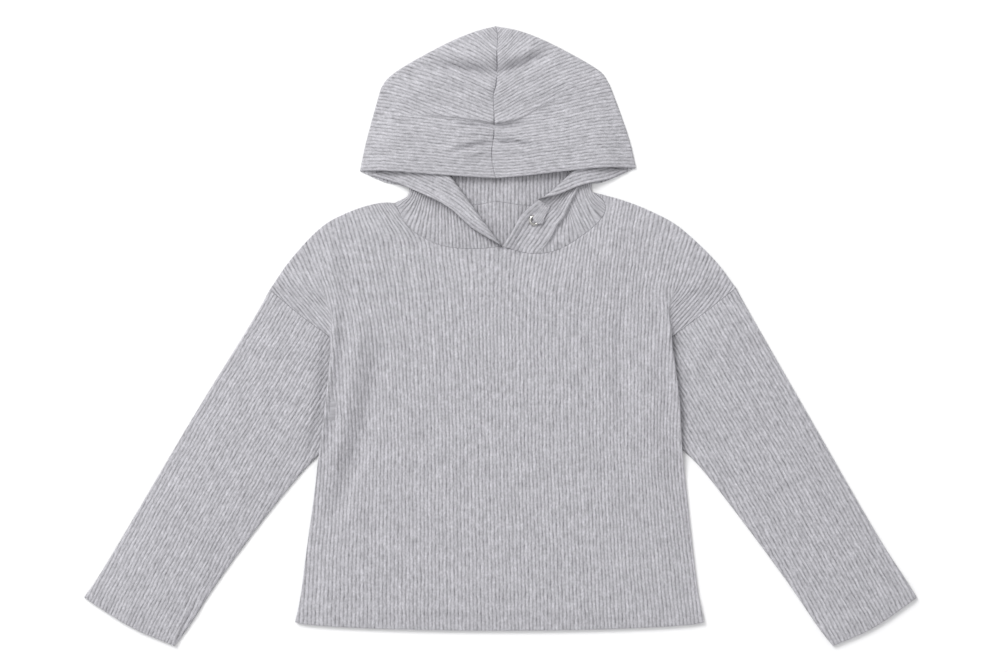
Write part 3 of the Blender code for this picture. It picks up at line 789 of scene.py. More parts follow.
def guide_count(guide):
    """A function that counts a guide's ribs at places across a line and where that line is."""
    at, places = np.array(list(guide.rows)) * MM, np.array(list(guide.rows.values())) * MM
    slopes = np.gradient(places, at, axis=0)
    numbers = np.array(guide.numbers, float)

    def count(across, where):
        where = np.clip(where, at[0], at[-1])
        i = np.clip(np.searchsorted(at, where) - 1, 0, len(at) - 2)
        span = (at[i + 1] - at[i])[:, None]
        t = ((where - at[i]) / (at[i + 1] - at[i]))[:, None]
        here = (
            places[i] * (2 * t ** 3 - 3 * t ** 2 + 1) + places[i + 1] * (3 * t ** 2 - 2 * t ** 3)
            + span * (slopes[i] * (t ** 3 - 2 * t ** 2 + t) + slopes[i + 1] * (t ** 3 - t ** 2))
        )
        j = np.clip((across[:, None] > here).sum(axis=1) - 1, 0, len(numbers) - 2)
        each = np.arange(len(across))
        low, high = here[each, j], here[each, j + 1]
        return numbers[j] + (numbers[j + 1] - numbers[j]) * (across - low) / (high - low)
    return count


def wave(points, length_x, length_y, phase=0.0):
    return np.sin(2 * math.pi * (points[:, 0] / length_x + points[:, 1] / length_y) + phase)


def waver(points):
    """How far the ribs stray from their course, in ribs."""
    return sum(size * wave(points, *rest) for size, *rest in STRAYS)


def patches(points):
    """How deep the ribs are from place to place, from about 0.6 to 1."""
    swells = [size * wave(points, *one) * wave(points, *other) for size, one, other in PATCHES]
    return sum(swells, PATCH_MEAN)


def pressed(spots):
    """The share of the ribs' depth that is left at and round some spots."""
    def share(points):
        left = np.ones(len(points))
        for spot in spots:
            off = (points - np.array(spot.centre) * MM) / (np.array(spot.reach) * MM)
            left *= 1 - spot.share * np.exp(-np.sum(off ** 2, axis=1))
        return left
    return share


class Ribs:
    """A rib field. Its rows are straight lines across the ribs, turned by an angle from X.

    Its count jumps at its cuts, and beyond tells which points lie on their far side.
    """

    def __init__(self, count, turn=0.0, pitch=RIB_PITCH, cuts=(), beyond=None, strength=flat(1.0)):
        self.count = count
        self.axes = np.array([[math.cos(turn), math.sin(turn)], [-math.sin(turn), math.cos(turn)]])
        self.pitch = pitch
        self.cuts = cuts
        self.beyond = beyond
        self.full_strength = strength

    def local(self, points):
        """Across the rows and along the ribs."""
        return points @ self.axes.T

    def plan(self, local):
        return local @ self.axes

    def strength(self, points):
        """The share of the ribs' full depth. They fade out along the cuts."""
        depth = patches(points) * self.full_strength(points)
        for cut in self.cuts:
            depth = depth * smooth_step((distance_to_line(points, cut) - CUT_HALF) / CUT_FADE)
        return depth

    def profile(self, points):
        """The depth of the ribs under their ridges."""
        swell = np.abs(np.sin(math.pi * self.count(points))) ** RIB_ROUNDNESS
        return RIB_DEPTH * self.strength(points) * (1 - swell)


class ArcRibs(Ribs):
    """Ribs that run round a centre, for the back of the hood. Their rows have their true size at reach."""

    def __init__(self, centre, side, reach):
        super().__init__(lambda points: np.linalg.norm(points - self.centre, axis=1) / RIB_PITCH)
        self.centre, self.outward, self.reach = np.array(centre), np.array((-side, 1)), reach

    def local(self, points):
        offset = (points - self.centre) * self.outward
        angle = np.arctan2(offset[:, 1], offset[:, 0])
        return np.column_stack([np.linalg.norm(offset, axis=1), self.reach * angle])

    def plan(self, local):
        radius, angle = local[:, 0], local[:, 1] / self.reach
        offset = np.column_stack([radius * np.cos(angle), radius * np.sin(angle)])
        return self.centre + offset * self.outward


# One face of a layer: its ribs, its points to a rib, its distance between rows and the part that is fine.
Face = namedtuple("Face", "ribs columns row window", defaults=(None, FINE_COLUMNS, COARSE_STEP, None))
PLAIN = Face()


def parameters(face, points):
    """Where plan points are on the face's lattice: columns across and rows along."""
    if face.ribs is None:
        return points / face.row
    local = face.ribs.local(points)
    return np.column_stack([face.ribs.count(points) * face.columns, local[:, 1] / face.row])


def row_spans(outline, height):
    """The sorted places where a row at this height crosses an outline, in its own axes."""
    following = np.roll(outline, -1, axis=0)
    cross = (outline[:, 1] > height) != (following[:, 1] > height)
    start, end = outline[cross], following[cross]
    share = (height - start[:, 1]) / (end[:, 1] - start[:, 1])
    return np.sort(start[:, 0] + share * (end[:, 0] - start[:, 0]))


def lattice(face, ring):
    """The points inside a ring where the rows meet the columns."""
    ribs = face.ribs
    outline = ribs.local(ring)
    low, high = outline.min(axis=0), outline.max(axis=0)
    rows = np.arange(low[1] + face.row / 2, high[1], face.row)
    across = np.arange(low[0] - SAMPLE_STEP, high[0] + 2 * SAMPLE_STEP, SAMPLE_STEP)
    grid = np.stack(np.meshgrid(across, rows), axis=-1).reshape(-1, 2)
    counts = ribs.count(ribs.plan(grid)).reshape(len(rows), len(across)) * face.columns
    found = []
    for height, values in zip(rows, counts):
        if values[-1] < values[0]:
            values = -values
        values = np.maximum.accumulate(values) + np.arange(len(values)) * COUNT_NUDGE
        ticks = np.arange(math.ceil(values[0]), values[-1])
        places = np.interp(ticks, values, across)
        places = places[np.searchsorted(row_spans(outline, height), places) % 2 == 1]
        found.append(np.column_stack([places, np.full(len(places), height)]))
    points = ribs.plan(np.vstack(found))
    for cut in ribs.cuts:
        points = points[distance_to_line(points, cut) > CUT_CLEAR]
    return points


def cut_lips(face, ring):
    """Points along both lips of each cut, where the count of the ribs jumps, and the edges across it."""
    points, edges = [np.empty((0, 2))], []
    if face.ribs is None:
        return points[0], edges
    count = 0
    for cut in face.ribs.cuts:
        along = np.gradient(cut, axis=0)
        along /= np.linalg.norm(along, axis=1, keepdims=True)
        across = CUT_HALF * np.column_stack([-along[:, 1], along[:, 0]])
        clear = inside(cut, ring) & (distance_to_line(cut, closed_line(ring)) > CUT_CLEAR)
        lips = [(cut + side * across)[clear] for side in (-1, 1)]
        length = len(lips[0])
        points.extend(lips)
        one = count + np.arange(length)
        other = one + length
        edges += [*zip(one, other), *zip(one, one[1:]), *zip(other, other[1:])]
        count += 2 * length
    return np.vstack(points), edges


def coarse_grid(ring, step=COARSE_STEP):
    low, high = ring.min(axis=0), ring.max(axis=0)
    columns = np.arange(low[0] + step / 2, high[0], step)
    rows = np.arange(low[1] + step / 2, high[1], step)
    grid = np.stack(np.meshgrid(columns, rows), axis=-1).reshape(-1, 2)
    return grid[inside(grid, ring)]


def filling(face, ring):
    """The points inside a face's innermost ring."""
    if face.ribs is None:
        return coarse_grid(ring, face.row)
    if face.window is None:
        return lattice(face, ring)
    seen = lattice(face, face.window)
    unseen = coarse_grid(ring)
    return np.vstack([seen[inside(seen, ring)], unseen[~inside(unseen, face.window)]])


def fill_ring(face, ring):
    """Plan points inside a ring and the triangles over them and the ring, anticlockwise."""
    lips, bridges = cut_lips(face, ring)
    points = filling(face, ring)
    spacing = NEAR_RING
    if face.window is None:
        here, around, at_lips = (parameters(face, part) for part in (points, ring, lips))
    else:
        here, around, at_lips = (part / COARSE_STEP for part in (points, ring, lips))
        spacing *= face.ribs.pitch / face.columns / COARSE_STEP
    tree = KDTree(len(around))
    for i, place in enumerate(around):
        tree.insert((*place, 0.0), i)
    tree.balance()
    keep = [tree.find((*place, 0.0))[2] > spacing for place in here]
    points, here = points[keep], here[keep]
    flat_points = np.vstack([around, at_lips, here])
    # Some rib fields mirror the plan, and the ring runs clockwise in their places.
    mirrored = signed_area(around) < 0
    if mirrored:
        flat_points = flat_points * (-1, 1)
    first = len(ring)
    edges = [(int(a) + first, int(b) + first) for a, b in bridges]
    listed = [Vector(place) for place in flat_points.tolist()]
    _, _, triangles, origin, *_ = delaunay_2d_cdt(listed, edges, [list(range(first))], 1, MERGE_DISTANCE)
    source = np.array([known[0] if known else -1 for known in origin])
    triangles = source[np.array(triangles)]
    triangles = triangles[(triangles >= 0).all(axis=1)]
    if mirrored:
        triangles = triangles[:, ::-1]
    return np.vstack([lips, points]), triangles


# --- Layers and pieces --------------------------------------------------------------------------------

# A border: the radius that the upper face rounds over, where the edge is between the faces, the edge's
# height where it is fixed instead, how far the border keeps in from the plan's line, and the lower face's
# radius.
BORDER_DEFAULTS = (None, SEAM_GAP / 2, 0.0009)
Border = namedtuple("Border", "radius share level inset lower_radius", defaults=BORDER_DEFAULTS)
SEAM = Border(0.0009, 0.50, None, 0.00005)
HEM = Border(0.0014, 0.50)
FOLD = Border(0.0027, 0.0, 0.0009, 0.0, 0.0012)
UNDER_FOLD = Border(0.0010, 0.50, None, 0.0018)
PLEATED = Border(0.0026, 0.15)
HIDDEN = Border(0.0008, 0.50)
TURNED_FOLD = Border(0.0027, 0.0, 0.0026, 0.0, 0.0012)
CASING = Border(0.0024, 0.15)
HOOD_MIDDLE = Border(0.0013, 0.45, None, 0.0)
TONGUE_EDGE = Border(0.0008, 0.4, None, 0.0, 0.0003)
Run = namedtuple("Run", "line border")

UPPER_ANGLES = tuple(math.radians(a) for a in (0, 28, 58, 90))
LOWER_ANGLES = tuple(math.radians(a) for a in (0, 90))


def trace(runs):
    """An outline, anticlockwise, from runs end to end, with the border at each of its points."""
    line = np.vstack([run.line for run in runs])
    borders = [run.border for run in runs for _ in run.line]
    keep = np.linalg.norm(line - np.roll(line, 1, axis=0), axis=1) > SAME_POINT
    line = line[keep]
    borders = [border for border, kept in zip(borders, keep) if kept]
    if signed_area(line) < 0:
        line, borders = line[::-1], borders[::-1]
    return inset(line, [border.inset for border in borders]), borders


def subdivided(values, counts):
    """The values at a ring's points, with each stretch between two of them cut into counts."""
    following = np.roll(values, -1, axis=0)
    index = np.repeat(np.arange(len(values)), counts)
    share = np.concatenate([np.arange(count) / count for count in counts])
    share = share.reshape((-1,) + (1,) * (values.ndim - 1))
    return values[index] + share * (following[index] - values[index])


def stretches(face, ring):
    """How many steps each stretch of a ring needs for the face to keep its ribs."""
    places = parameters(face, ring)
    return np.abs(np.roll(places, -1, axis=0) - places).max(axis=1)


class Cloth:
    """Gathers the layers of one piece and makes its mesh."""

    def __init__(self, name):
        self.name = name
        self.points, self.knit, self.triangles, self.charts = [], [], [], []
        self.count = 0
        self.chart = 0
        self.area = 0.0

    def add_points(self, plan, height, face):
        self.points.append(np.column_stack([plan, height]))
        if face.ribs is None:
            # A plain face takes its colour from near a ridge.
            self.knit.append(plan / RIB_PITCH * (PLAIN_SPREAD, 1) + (0.5, 0))
        else:
            along = face.ribs.local(plan)[:, 1] / face.ribs.pitch
            self.knit.append(np.column_stack([face.ribs.count(plan), along]))
        first = self.count
        self.count += len(plan)
        return np.arange(first, self.count)

    def add_triangles(self, triangles):
        self.triangles.append(triangles)
        self.charts.append(np.full(len(triangles), self.chart))

    def add_strip(self, outer, inner, upward):
        """Triangles between two rings of as many points."""
        a, b = outer, np.roll(outer, -1)
        c, d = np.roll(inner, -1), inner
        strip = np.vstack([np.column_stack([a, b, c]), np.column_stack([a, c, d])])
        self.add_triangles(strip if upward else strip[:, ::-1])

    def layer(self, runs, under, over, top=PLAIN, bottom=PLAIN):
        """A closed shell of cloth from the height of its lower face and of its upper one."""
        outline, borders = trace(runs)
        self.area += signed_area(outline)
        # A border without a level of its own reads as nan there.
        radius, share, fixed, _, lower_radius = np.array(borders, dtype=float).T
        low, high = under(outline), over(outline)
        level = np.where(np.isnan(fixed), low + share * (high - low), fixed)

        def height_of(face, surface, sign):
            if face.ribs is None:
                return surface
            return lambda points: surface(points) + sign * face.ribs.profile(points)

        upper, lower = height_of(top, over, -1), height_of(bottom, under, 1)
        inner = inset(outline, radius)
        needed = np.maximum(stretches(top, inner), stretches(bottom, inner))
        lengths = np.linalg.norm(np.roll(outline, -1, axis=0) - outline, axis=1)
        counts = np.maximum(1, np.ceil(np.minimum(needed, lengths / LEAST_STEP))).astype(int)
        fine_level = subdivided(level, counts)
        shared = None
        for face, surface, radii, angles, upward in (
            (top, upper, radius, UPPER_ANGLES, True), (bottom, lower, lower_radius, LOWER_ANGLES, False),
        ):
            rings = []
            for angle in angles:
                plan = subdivided(inset(outline, radii * (1 - math.cos(angle))), counts)
                height = fine_level + (surface(plan) - fine_level) * math.sin(angle)
                if angle == 0 and shared is not None:
                    rings.append(shared)
                else:
                    rings.append(self.add_points(plan, height, face))
            shared = rings[0]
            for outer, inward in zip(rings, rings[1:]):
                self.add_strip(outer, inward, upward)
            # The plan is now the innermost ring's.
            extra, triangles = fill_ring(face, plan)
            index = np.concatenate([rings[-1], self.add_points(extra, surface(extra), face)])
            triangles = index[triangles]
            self.add_triangles(triangles if upward else triangles[:, ::-1])
            self.chart += 1

    def build(self, shift, material):
        points = np.vstack(self.points)
        plan = points[:, :2].copy()
        points[:, :2] -= shift
        triangles = np.vstack(self.triangles)
        mesh = bpy.data.meshes.new(self.name)
        mesh.vertices.add(len(points))
        mesh.vertices.foreach_set("co", points.ravel())
        mesh.loops.add(triangles.size)
        mesh.loops.foreach_set("vertex_index", triangles.ravel())
        mesh.polygons.add(len(triangles))
        mesh.polygons.foreach_set("loop_start", np.arange(0, triangles.size, 3))
        mesh.update(calc_edges=True)
        corners = triangles.ravel()
        charts = np.repeat(np.concatenate(self.charts), 3)
        across = math.ceil(math.sqrt(self.chart))
        low, high = plan.min(axis=0), plan.max(axis=0)
        place = (plan - low) / (high - low).max() * (1 - 2 * CHART_MARGIN) + CHART_MARGIN
        bake = (place[corners] + np.column_stack([charts % across, charts // across])) / across
        for name, values in (("OFBake", bake), ("knit", np.vstack(self.knit)[corners])):
            layer = mesh.uv_layers.new(name=name)
            layer.data.foreach_set("uv", values.astype(np.float32).ravel())
        mesh.materials.append(material)
        mesh.shade_smooth()
        mesh.validate()
        print(f"  {self.name}: {len(points)} points, {len(triangles)} triangles")
        return add_object(self.name, mesh)


# --- The rib fields of the pieces -----------------------------------------------------------------------


def crease_line(places, upright=True):
    """A crease's smooth line in plan."""
    line = smooth_line(np.array(places, float) * MM, CUT_STEP)
    return line[:, ::-1] if upright else line


def clipped(line, axis, low, high):
    """The part of a line between two places in millimetres."""
    return line[(line[:, axis] >= low * MM) & (line[:, axis] <= high * MM)]


def body_field():
    """The ribs of the front: upright, fanned out over the shoulders, and lost under the side pleats."""
    main = guide_count(FRONT_RIBS)
    shoulders = [
        (guide_count(LEFT_SHOULDER_RIBS), crease_line(LEFT_PLEAT_CREASE) * (LEFT, 1), LEFT),
        (guide_count(RIGHT_SHOULDER_RIBS), crease_line(RIGHT_PLEAT_CREASE), RIGHT),
    ]

    def outside(points, crease, side):
        edge_at = np.interp(points[:, 1], crease[:, 1], side * crease[:, 0])
        return (side * points[:, 0] > edge_at) & (points[:, 1] > SHOULDER_START * MM)

    def count(points):
        ribs = main(*points.T)
        for field, crease, side in shoulders:
            beyond = outside(points, crease, side)
            if beyond.any():
                ribs[beyond] = field(*points[beyond].T)
        return ribs + waver(points)

    cuts = [clipped(crease, 1, PLEAT_CREASE_START, PLEAT_CREASE_END) for _, crease, _ in shoulders]
    return Ribs(
        count, cuts=cuts, strength=pressed(BODY_SMOOTH),
        beyond=lambda points: np.any([outside(points, *shoulder[1:]) for shoulder in shoulders], axis=0),
    )


def hood_field():
    """The ribs of the hood's front: level along its edge, and pointed at the seam above its crease."""
    lower = guide_count(HOOD_LOWER_RIBS)
    upper = guide_count(HOOD_UPPER_RIBS)
    crease = crease_line(SMILE_CREASE, upright=False)
    seam = np.array(HOOD_MIDDLE_SEAM[::-1]) * MM

    def above(points):
        return points[:, 1] > np.interp(points[:, 0], crease[:, 0], crease[:, 1])

    def pointed(y, x):
        """The ribs above the crease, run straight on to the middle seam from both sides of it."""
        middle = np.interp(y, seam[:, 1], seam[:, 0])
        side = np.where(x > middle, 1.0, -1.0)
        start = middle + side * POINT_REACH
        slope = (upper(y, start + side * POINT_STEP) - upper(y, start)) / (side * POINT_STEP)
        near = np.abs(x - middle) < POINT_REACH
        return np.where(near, upper(y, start) + slope * (x - start), upper(y, x))

    def count(points):
        x, y = points.T
        return np.where(above(points), pointed(y, x), lower(y, x)) + HOOD_STRAY * waver(points[:, ::-1])

    cut = clipped(crease, 0, SMILE_START, SMILE_END)
    return Ribs(count, turn=math.pi / 2, cuts=[cut], beyond=above, strength=flat(HOOD_STRENGTH))


def sleeve_field(side):
    """Ribs along the sleeve's outer edge, a little further apart towards the cuff."""
    sleeve = SLEEVE_RIBS[side]
    tip, corner = knots(SLEEVE_OUTER, side)[0], knots(SLEEVE_OUTER, side)[-1]
    along = (tip - corner) / np.linalg.norm(tip - corner)
    turn = math.atan2(-along[0], along[1])
    axes = Ribs(None, turn=turn)
    start, length = axes.local(tip[None])[0], np.linalg.norm(tip - corner)

    def count(points):
        across, up = (axes.local(points) - start).T
        down = np.clip(-up / length, 0, 1)
        bent = across - sleeve.bend * MM * down ** 3
        return bent / (sleeve.pitch * MM * (1 + SLEEVE_SPREAD * down)) + SLEEVE_STRAY * waver(points)
    return Ribs(count, turn=turn, pitch=sleeve.pitch * MM, strength=flat(sleeve.strength))


def opening_face():
    """The face of a layer that shows only in the neck opening: upright ribs there, and plain elsewhere."""
    window = np.array(OPENING) * MM
    ribs = Ribs(
        lambda points: points[:, 0] / OPENING_PITCH + waver(points), pitch=OPENING_PITCH,
        strength=lambda points: OPENING_STRENGTH * inside(points, window),
    )
    return fine(ribs, window)


def edge_field(line, ribs):
    """Ribs that follow a line at equal distances."""
    return Ribs(
        lambda points: distance_to_line(points, line) / ribs.pitch + EDGE_STRAY * waver(points),
        turn=math.radians(ribs.turn), pitch=ribs.pitch, strength=flat(ribs.strength),
    )


def guided_field(guide, strength=1.0):
    """Ribs that follow one guide."""
    count = guide_count(guide)
    return Ribs(lambda points: count(*points.T) + waver(points), strength=flat(strength))


def band_field():
    """The band along the opening, with ribs along its two edges, and the upright ribs beyond its crease."""
    guide = guide_count(RIGHT_NECK_RIBS)
    crease = crease_line(BAND_CREASE)
    opening = np.vstack([edge(PLAIN_EDGE, RIGHT), edge(TURN_FOLD, RIGHT)[1:]])

    def beyond(points):
        return points[:, 0] > np.interp(points[:, 1], crease[:, 1], crease[:, 0])

    def count(points):
        from_opening, from_crease = distance_to_line(points, opening), distance_to_line(points, crease)
        share = from_opening / np.maximum(from_opening + from_crease, SAME_POINT)
        band = BAND_RIBS * share + EDGE_STRAY * waver(points)
        return np.where(beyond(points), BAND_JUMP + guide(*points.T) + waver(points), band)

    turn = math.radians(BAND_TURN)
    return Ribs(count, turn=turn, cuts=[crease], beyond=beyond, strength=pressed(BAND_SMOOTH))


# --- The pieces ----------------------------------------------------------------------------------------


def fine(ribs, window=None):
    return Face(ribs, FINE_COLUMNS, FINE_ROW, window)


def plain(ribs):
    return Face(ribs, PLAIN_COLUMNS, PLAIN_ROW)


def body_runs(tables):
    """Round the body from its left corner: along the hem, up the right side and down the left one."""
    steps = [NECK_STEP if table is FRONT_NECK else EDGE_STEP for table, _ in tables]
    up = [Run(edge(table, RIGHT, step), border) for (table, border), step in zip(tables, steps)]
    down = [Run(edge(table, LEFT, step)[::-1], border) for (table, border), step in zip(tables, steps)]
    return [Run(hem_line(), HEM)] + up + down[::-1]


def make_back_panel():
    """One layer, which lies on the surface."""
    cloth = Cloth("back_panel")
    runs = body_runs([
        (BODY_SIDE, SEAM), (ARMHOLE_TUCKED, HIDDEN), (ARMHOLE, SEAM), (SHOULDER, SEAM), (BACK_NECK, SEAM),
    ])
    ribs = guided_field(FRONT_RIBS)
    cloth.layer(runs, flat(0.0), hem_thickness(hem_line()), opening_face(), plain(ribs))
    return cloth


def over_tucks(ribs):
    """How far the front is lifted over the sleeves tucked under it, from 0 to 1."""
    tucks = [joined(edge(PLEAT, side), edge(ARMHOLE_TUCKED, side)[::-1]) for side in (LEFT, RIGHT)]

    def share(points):
        apart = [
            np.where(inside(points, tuck), 0.0, distance_to_line(points, closed_line(tuck)))
            for tuck in tucks
        ]
        over = 1 - smooth_step((np.minimum(*apart) - PLEAT_MARGIN) / PLEAT_REACH)
        sunk = smooth_step(points[:, 1] / (PLEAT_CREASE_END * MM))
        return np.where(ribs.beyond(points), over * sunk, over)
    return share


def make_front_panel():
    """One layer over the back and over the sleeves' tucked underarms."""
    runs = body_runs([
        (BODY_SIDE, SEAM), (PLEAT, PLEATED), (ARMHOLE, SEAM), (SHOULDER, SEAM), (FRONT_NECK, SEAM),
    ])
    ribs = body_field()
    over = over_tucks(ribs)
    hemmed = hem_thickness(hem_line())
    crown = crown_of(joined(*(run.line for run in runs)), BODY_CROWN, CROWN_REACH)
    creases = [ledge(cut, lambda points: ~ribs.beyond(points), PLEAT_LEDGE) for cut in ribs.cuts]
    faces = lifted(
        lambda points: hemmed(points) + SEAM_GAP + crown(points) + PLEAT_LIFT * over(points),
        lambda points: hemmed(points) + PLEAT_TURN * over(points),
        folds(BODY_FOLDS + OPENING_FOLDS), *creases, clear=crown,
    )
    cloth = Cloth("front_panel")
    cloth.layer(runs, *faces, fine(ribs))
    return cloth


def make_sleeve(name, side):
    """A tube pressed flat: one layer on the surface and one over it."""
    lines = [edge(table, side) for table in (SLEEVE_OUTER, CUFF, SLEEVE_INNER, ARMHOLE_TUCKED, ARMHOLE)]
    thickness = hem_thickness(lines[1])
    crown = crown_of(joined(*lines), SLEEVE_CROWN, CROWN_REACH)
    ribs = sleeve_field(side)
    cloth = Cloth(name)
    runs = list(map(Run, lines, (UNDER_FOLD, HEM, UNDER_FOLD, HIDDEN, SEAM)))
    cloth.layer(runs, flat(0.0), thickness, PLAIN, plain(ribs))
    over_low = total(thickness, flat(SEAM_GAP), crown)
    runs = list(map(Run, lines, (FOLD, HEM, FOLD, HIDDEN, SEAM)))
    cloth.layer(runs, *lifted(over_low, thickness, folds(SLEEVE_FOLDS[side]), clear=crown), fine(ribs))
    return cloth


def turned_height(side):
    """The turned hood edge lies over the neck panel, and comes down to the back layer at the corner."""
    def height(points):
        out = side * points[:, 0]
        fall = (out - TURNED_FALL_START) / (TURNED_FALL_END - TURNED_FALL_START)
        return TURNED_HEIGHT + (TURNED_LOW - TURNED_HEIGHT) * smooth_step(fall)
    return height


def hood_fold(side):
    """The folded edge of a hood half, from its corner up to the crown."""
    return smooth_line(np.vstack([knots(HOOD_SIDE, side), knots(HOOD_TOP, side)[1:]]), EDGE_STEP)


def add_hood_back(cloth, side):
    """The layer on the surface. Its upper face shows only in the neck opening."""
    fold, back_neck = hood_fold(side), edge(BACK_NECK, side)
    ribs = ArcRibs((side * HOOD_BACK_CENTRE[0], HOOD_BACK_CENTRE[1]), side, HOOD_BACK_REACH)
    cloth.layer([
        Run(back_neck[::-1], SEAM), Run(edge(NECK_SIDE, side, NECK_STEP), UNDER_FOLD),
        Run(edge(HOOD_LOWER_EDGE, side), HEM), Run(fold, UNDER_FOLD),
        Run(np.vstack([fold[-1:], back_neck[-1:]]), SEAM),
    ], flat(0.0), flat(CLOTH), opening_face(), plain(ribs))


def add_neck_panel(cloth, side):
    """The layer between the front's neck edge and the hood's opening."""
    front_neck, neck_fold = edge(FRONT_NECK, side, NECK_STEP), edge(NECK_SIDE, side, NECK_STEP)[::-1]
    turn_fold, top = edge(TURN_FOLD, side), edge(NECK_PANEL_TOP, side)
    plain_edge = edge(PLAIN_EDGE, side) if side == RIGHT else turn_fold[:1]
    lines = (front_neck, plain_edge, turn_fold, top, neck_fold)
    crown = crown_of(joined(*lines), NECK_CROWN, NECK_CROWN_REACH)
    if side == LEFT:
        ribs = guided_field(LEFT_NECK_RIBS, LEFT_NECK_STRENGTH)
        shapes = [folds(LEFT_NECK_FOLDS + OPENING_FOLDS)]
    else:
        ribs = band_field()
        crease = ledge(ribs.cuts[0], lambda points: ~ribs.beyond(points), BAND_LEDGE)
        shapes = [folds(RIGHT_NECK_FOLDS + OPENING_FOLDS), crease]
    faces = lifted(total(flat(LAYER), crown), flat(CLOTH), *shapes, clear=crown)
    cloth.layer(list(map(Run, lines, (SEAM, HEM, HIDDEN, HIDDEN, FOLD))), *faces, fine(ribs))


def add_turned_edge(cloth, side):
    """The opening's edge, turned outward over the neck panel."""
    free_edge, turn_fold = edge(TURN_FREE_EDGE, side), edge(TURN_FOLD, side)[::-1]
    lines = (free_edge, np.vstack([free_edge[-1:], turn_fold[:1]]), turn_fold)
    faces = lifted(turned_height(side), flat(CLOTH), folds(TURNED_FOLDS + OPENING_FOLDS))
    ribs = edge_field(free_edge, TURNED_RIBS[side])
    cloth.layer(list(map(Run, lines, (HEM, HIDDEN, TURNED_FOLD))), *faces, fine(ribs))


def add_hood_front(cloth, side):
    """The upper layer, whose front edge stands over what lies in the hood's opening."""
    fold, front_edge = hood_fold(side), edge(HOOD_FRONT_EDGE, side)
    seam = smooth_line(np.array(HOOD_MIDDLE_SEAM) * MM, EDGE_STEP)

    def under(points):
        from_edge = distance_to_line(points, front_edge)
        near_edge = 1 - smooth_step((from_edge - HOOD_LIFT_FLAT) / HOOD_LIFT_DEPTH)
        off_fold = smooth_step(distance_to_line(points, fold) / HOOD_CORNER_REACH)
        out = np.abs(points[:, 0] - fold[-1, 0])
        off_middle = smooth_step((out - HOOD_MIDDLE_HALF) / HOOD_MIDDLE_REACH)
        lift = HOOD_CENTRE_LIFT + (HOOD_EDGE_LIFT - HOOD_CENTRE_LIFT) * off_middle
        crown = HOOD_CROWN * smooth_step(from_edge / HOOD_CROWN_REACH)
        return LAYER + off_fold * (lift * near_edge + crown)

    ribs = hood_field()
    faces = lifted(
        under, flat(CLOTH), folds(HOOD_FOLDS), ledge(ribs.cuts[0], ribs.beyond, SMILE_LEDGE),
        clear=lambda points: np.maximum(under(points) - LAYER, 0),
    )
    runs = list(map(Run, (fold, seam, front_edge[::-1]), (FOLD, HOOD_MIDDLE, CASING)))
    cloth.layer(runs, *faces, fine(ribs))


def make_hood_half(name, side):
    """The back layer, the neck panel, the edge turned back over it, and the front layer on top."""
    cloth = Cloth(name)
    for add in (add_hood_back, add_neck_panel, add_turned_edge, add_hood_front):
        add(cloth, side)
    return cloth


def make_eyelet():
    """A domed metal ring, turned about its axis."""
    hole, outer, height, dome, sides = EYELET_RING
    middle, half = (outer + hole) / 2, (outer - hole) / 2
    profile = [(middle - half * math.cos(angle), dome * math.sin(angle)) for angle in RING_ANGLES]
    turns = np.arange(sides) * 2 * math.pi / sides
    points = [(r * math.cos(turn), r * math.sin(turn), z) for turn in turns for r, z in profile]
    size = len(profile)
    faces = []
    for i in range(sides):
        for j in range(size):
            here, beside, inward = i * size, (i + 1) % sides * size, (j + 1) % size
            faces.append((here + j, beside + j, beside + inward, here + inward))
    place = np.array(points) * MM + (*EYELET_CENTRE, height * MM) - (*plan_middle(), 0)
    mesh = bpy.data.meshes.new("eyelet_ring")
    mesh.from_pydata(place.tolist(), [], faces)
    mesh.shade_smooth()
    mesh.materials.append(metal_material())
    obj = add_object("eyelet_ring", mesh)
    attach(obj, "root")
    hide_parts("eyelet")


def make_tongue():
    """The end of plain cloth that comes out of the eyelet and is stitched down beside it."""
    outline = smooth_closed(np.array(TONGUE_OUTLINE) * MM, TONGUE_STEP)
    start, end = np.array(EYELET_CENTRE), np.array(TONGUE_END) * MM
    length = np.linalg.norm(end - start)
    along = (end - start) / length

    def under(points):
        share = (points - start) @ along / length
        fall = smooth_step((share - TONGUE_FALL_START) / TONGUE_FALL)
        return MM * (TONGUE_HIGH + (TONGUE_LOW - TONGUE_HIGH) * fall)

    turn = math.atan2(along[1], along[0]) - math.pi / 2
    ribs = Ribs(None, turn=turn, pitch=TONGUE_PITCH, strength=flat(TONGUE_STRENGTH))
    ribs.count = lambda points: ribs.local(points)[:, 0] / TONGUE_PITCH
    crown = crown_of(outline, TONGUE_CROWN, TONGUE_CROWN_REACH)
    faces = lifted(under, flat(TONGUE_THICKNESS), crown, folds(TONGUE_FOLDS))
    top, bottom = Face(ribs, TONGUE_COLUMNS, TONGUE_ROW), Face(row=TONGUE_COARSE)
    cloth = Cloth("eyelet_tongue")
    cloth.layer([Run(outline, TONGUE_EDGE)], *faces, top, bottom)
    return cloth


def plan_middle():
    """The middle of the box round the whole outline."""
    lines = [
        edge(table, side)
        for table in (SLEEVE_OUTER, CUFF, SLEEVE_INNER, HOOD_SIDE, HOOD_TOP)
        for side in (LEFT, RIGHT)
    ]
    points = np.vstack(lines)
    return (points.min(axis=0) + points.max(axis=0)) / 2


# --- Materials -----------------------------------------------------------------------------------------


